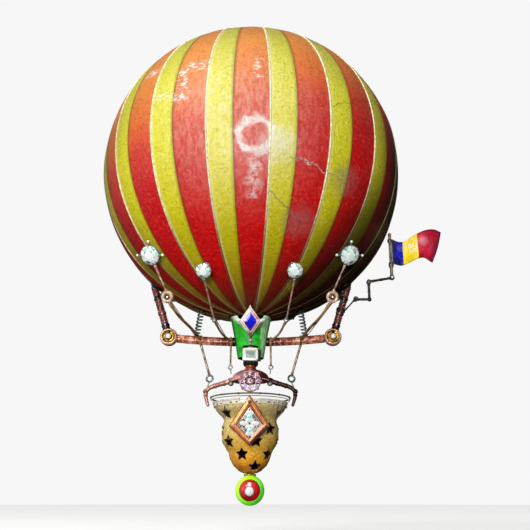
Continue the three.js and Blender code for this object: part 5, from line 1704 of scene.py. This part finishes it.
print("flag and its arm")
flag = {"near": 0.045, "far": -0.055, "elbows": {4: (4.13, -5.22), 3: (4.68, -5.22), 2: (4.68, -4.52), 1: (5.6, -4.36)},
        "poleTop": -2.56, "poleRadius": 0.062, "eye": 0.095, "clamp": 1.13, "columns": 96, "rows": 30,
        "upper": [(0.069, -2.715), (0.36, -2.822), (0.62, -2.766), (0.938, -2.574), (1.26, -2.435), (1.56, -2.341),
                  (1.86, -2.313), (2.118, -2.383)],
        "lower": [(0.069, -3.785), (0.29, -3.82), (0.44, -3.825), (0.69, -3.755), (0.93, -3.65), (1.18, -3.558),
                  (1.36, -3.535), (1.68, -3.703)],
        "wave": 0.12, "swell": 0.05, "thick": 0.014, "bands": (0.524, 1.1),
        "gleams": (((6.9, -0.05, -2.82), 0.17, 0.6, (255, 190, 200)), ((7.1, 0.0, -3.0), 0.3, 0.14, (255, 120, 150)),
                   ((6.02, -0.15, -3.1), 0.13, 0.5, (150, 160, 255)))}


def flagEnamel():
    # three painted bands under a hard gloss, shaded towards the edges
    paint = Paint("flag_enamel")
    u, v = paint.share("along"), paint.share("up")
    cloud = paint.fit(paint.grain(4.0, 4.0, distortion=0.8), 0.35, 0.65)
    fine = paint.grain(30.0, 3.0)
    out = paint.axis("X") - flag["elbows"][1][0]
    edge = out + 0.02 * (paint.grain(9.0, 2.0) - 0.5)
    first, second = flag["bands"]
    dusk = paint.most(paint.fit(out - 0.1 * v, 0.06, 0.3, 1.0, 0.0), paint.fit(v, 0.0, 0.3, 1.0, 0.0))
    blue = paint.mix(dusk * 0.8, paint.mix(cloud, (4, 6, 104), (18, 26, 214)), (2, 4, 46))
    colour = paint.mix(edge > first, blue, paint.mix(cloud, (250, 208, 2), (255, 238, 20)))
    colour = paint.mix(edge > second, colour, paint.mix(cloud, (158, 0, 34), (222, 8, 52)))
    # painted highlights on the folds
    for place, size, share, tone in flag["gleams"]:
        colour = paint.mix(paint.spot(place, size, size * 0.9) * share, colour, tone)
    speckled = paint.spot((6.5, -0.1, -3.05), 0.28, 0.26) * paint.fit(paint.grain(11.0, 3.0), 0.46, 0.56) * (edge < second)
    colour = paint.mix(speckled * 0.8, colour, (255, 254, 236))
    colour = paint.mix(paint.fit(out + 0.3 * (0.5 - v), 1.6, 2.05) * 0.62, colour, (92, 0, 30))
    rim = paint.fit(paint.maths("MINIMUM", 1 - v, (1 - u) * 1.4), 0.0, 0.16, 1.0, 0.0) * paint.fit(u, 0.56, 0.62)
    colour = paint.mix(rim * 0.75, colour, (70, 0, 34))
    colour = paint.mix(paint.fit(v, 0.0, 0.07, 1.0, 0.0) * 0.6, colour, (30, 8, 40))
    colour = paint.mix(paint.fit(paint.grain(7.0, 5.0, 0.7), 0.58, 0.74) * 0.2, colour, (255, 250, 246))
    return paint.finish(colour, 0.34 + 0.2 * fine, cloud * 0.6 + fine * 0.4, 0.006, glint=0.25, coat=0.25, coatRoughness=0.12)


def makeFlag():
    columns, rows, far, poleX = flag["columns"], flag["rows"], flag["far"], flag["elbows"][1][0]
    lower, upper = (flowing([(x, 0, z) for x, z in flag[side]], columns) for side in ("lower", "upper"))
    sheet, sleeves = Form(), Form()

    def point(n, k, side):
        u, v = n / columns, k / rows
        at = lower[n].lerp(upper[n], v)
        wave = flag["wave"] * math.sin(2 * math.pi * 1.15 * u) * min(1, 3 * u)
        thin = flag["thick"] * (1.0 if 0 < n < columns and 0 < k < rows else 0.35)
        bulge = flag["swell"] * u * u * math.sin(math.pi * v)
        return (poleX + at.x + bulge, far + wave + (side - 0.5) * thin, at.z)

    sheet.panel(columns, rows, point)
    mesh = sheet.mesh("flag", flagEnamel())
    shares = [(n / columns, k / rows) for side in (0, 1) for n in range(columns + 1) for k in range(rows + 1)]
    for label, values in zip(("along", "up"), zip(*shares)):
        mesh.attributes.new(label, "FLOAT", "POINT").data.foreach_set("value", values)
    settle(mesh, "flag_sheet", "flag", soft=50, body="flag")
    for low, high, tab in ((-2.86, -2.74, -2.8), (-3.88, -3.72, -3.76)):
        sleeves.ease([(0.069, low), (0.1, low), (0.1, high), (0.069, high)], 0.01, 32, (poleX, far, 0), closed=True)
        outline = [(poleX + x, tab + z) for x, z in ((0.084, -0.045), (0.134, -0.035), (0.134, 0.035), (0.084, 0.045))]
        sleeves.slab(outline, far - 0.011, far + 0.011, 0.003)
    sleeves.piece("flag_sleeves", "dark_steel", "", greySteel, body="flag")


makeFlag()


def makeArm():
    near, far, elbows, size = flag["near"], flag["far"], flag["elbows"], flag["eye"]
    flat = lambda n, y: Vector((elbows[n][0], y, elbows[n][1]))
    bracket, lower, mast = Form(), Form(), Form()
    back, radius = -front, arm["radius"]
    at = arm["corner"] + arm["way"] * flag["clamp"]
    clamp = [(0.008, -0.06), (0.036, -0.06), (0.044, -0.03), (0.036, 0.0), (0.044, 0.03), (0.036, 0.06), (0.008, 0.06)]
    bracket.ease([(radius + r, z) for r, z in clamp], 0.006, 40, at, arm["way"], closed=True)
    start, end = at + Vector((radius + 0.038, 0, 0.01)), flat(4, far) - Vector((0.05, 0, 0.045))
    bracket.sweep(straight(start, end, 24), swelling(0.03, (0.012, 0.12, 0.05), (0.012, 0.88, 0.05)))

    def plug(made, n, y):
        # a solid eye with a dished face
        made.ease([(0, -0.034), (0.5 * size, -0.034), (0.6 * size, -0.04), (size, -0.04), (size, 0.04), (0.6 * size, 0.04),
                   (0.5 * size, 0.034), (0, 0.034)], 0.008, 36, flat(n, y), back)

    def hollow(made, n, y):
        made.ease([(0.034, -0.036), (0.6 * size, -0.04), (size, -0.032), (size, 0.032), (0.6 * size, 0.04),
                   (0.034, 0.036)], 0.006, 36, flat(n, y), back, closed=True)

    def hub(made, n, start, end):
        # the pin from one plane through the eye in the other, with its cap beyond
        over = 1 if end > start else -1
        made.rod(flat(n, start), flat(n, end + over * 0.06), 0.027, 20)
        made.ease([(0, 0.046), (0.054, 0.046), (0.06, 0.052), (0.052, 0.066), (0, 0.07)], 0.004, 28, flat(n, end),
                  back * over, 1)

    plug(bracket, 4, far)
    hub(bracket, 4, far, near)
    bracket.piece("arm_bracket", "dark_steel", "flag_bracket", armBrown, poleBrown)
    bead = swelling(0.052, (0.012, 0.1, 0.05), (0.010, 0.5, 0.06), (0.012, 0.9, 0.05))
    hollow(lower, 4, near)
    lower.sweep(straight(flat(4, near) + Vector((0.07, 0, 0)), flat(3, near), 24), bead, 14, squeeze=0.75)
    lower.ball(flat(3, near), 0.086, 28)
    lower.sweep(straight(flat(3, near), flat(2, near) - above * 0.07, 24), bead, 14, squeeze=0.75)
    plug(lower, 2, near)
    hub(lower, 2, near, far)
    lower.piece("arm_crank", "dark_steel", "lower_crank", armBrown, poleBrown, body="lower_crank")
    hollow(mast, 2, far)
    mast.sweep(straight(flat(2, far) + Vector((0.07, 0, 0.012)), flat(1, far), 30), bead, 14, squeeze=0.75)
    mast.ball(flat(1, far), 0.1, 36)
    mast.ring(flat(1, far) + front * 0.045, 0.078, 0.026, back, 36, 10)
    mast.ball(flat(1, far) + front * 0.082, 0.052, 24, 2, 0.7, back)
    r = flag["poleRadius"]
    pole = [(0, 0.0), (r + 0.02, 0.05), (r + 0.012, 0.12), (r, 0.2), (r, 0.425), (r + 0.03, 0.437), (r + 0.034, 0.448),
            (r + 0.03, 0.459), (r, 0.468), (r, 1.76), (r + 0.01, 1.775), (r * 0.8, 1.81), (0, 1.82)]
    mast.ease(pole, 0.006, 32, flat(1, far), above, 1)
    mast.ball((elbows[1][0], far, flag["poleTop"] + 0.03), 0.072, 32, 1)
    mast.piece("flag_mast", "dark_steel", "flag_pole", armBrown, poleBrown, whiteStone, body="flag_mast")


makeArm()
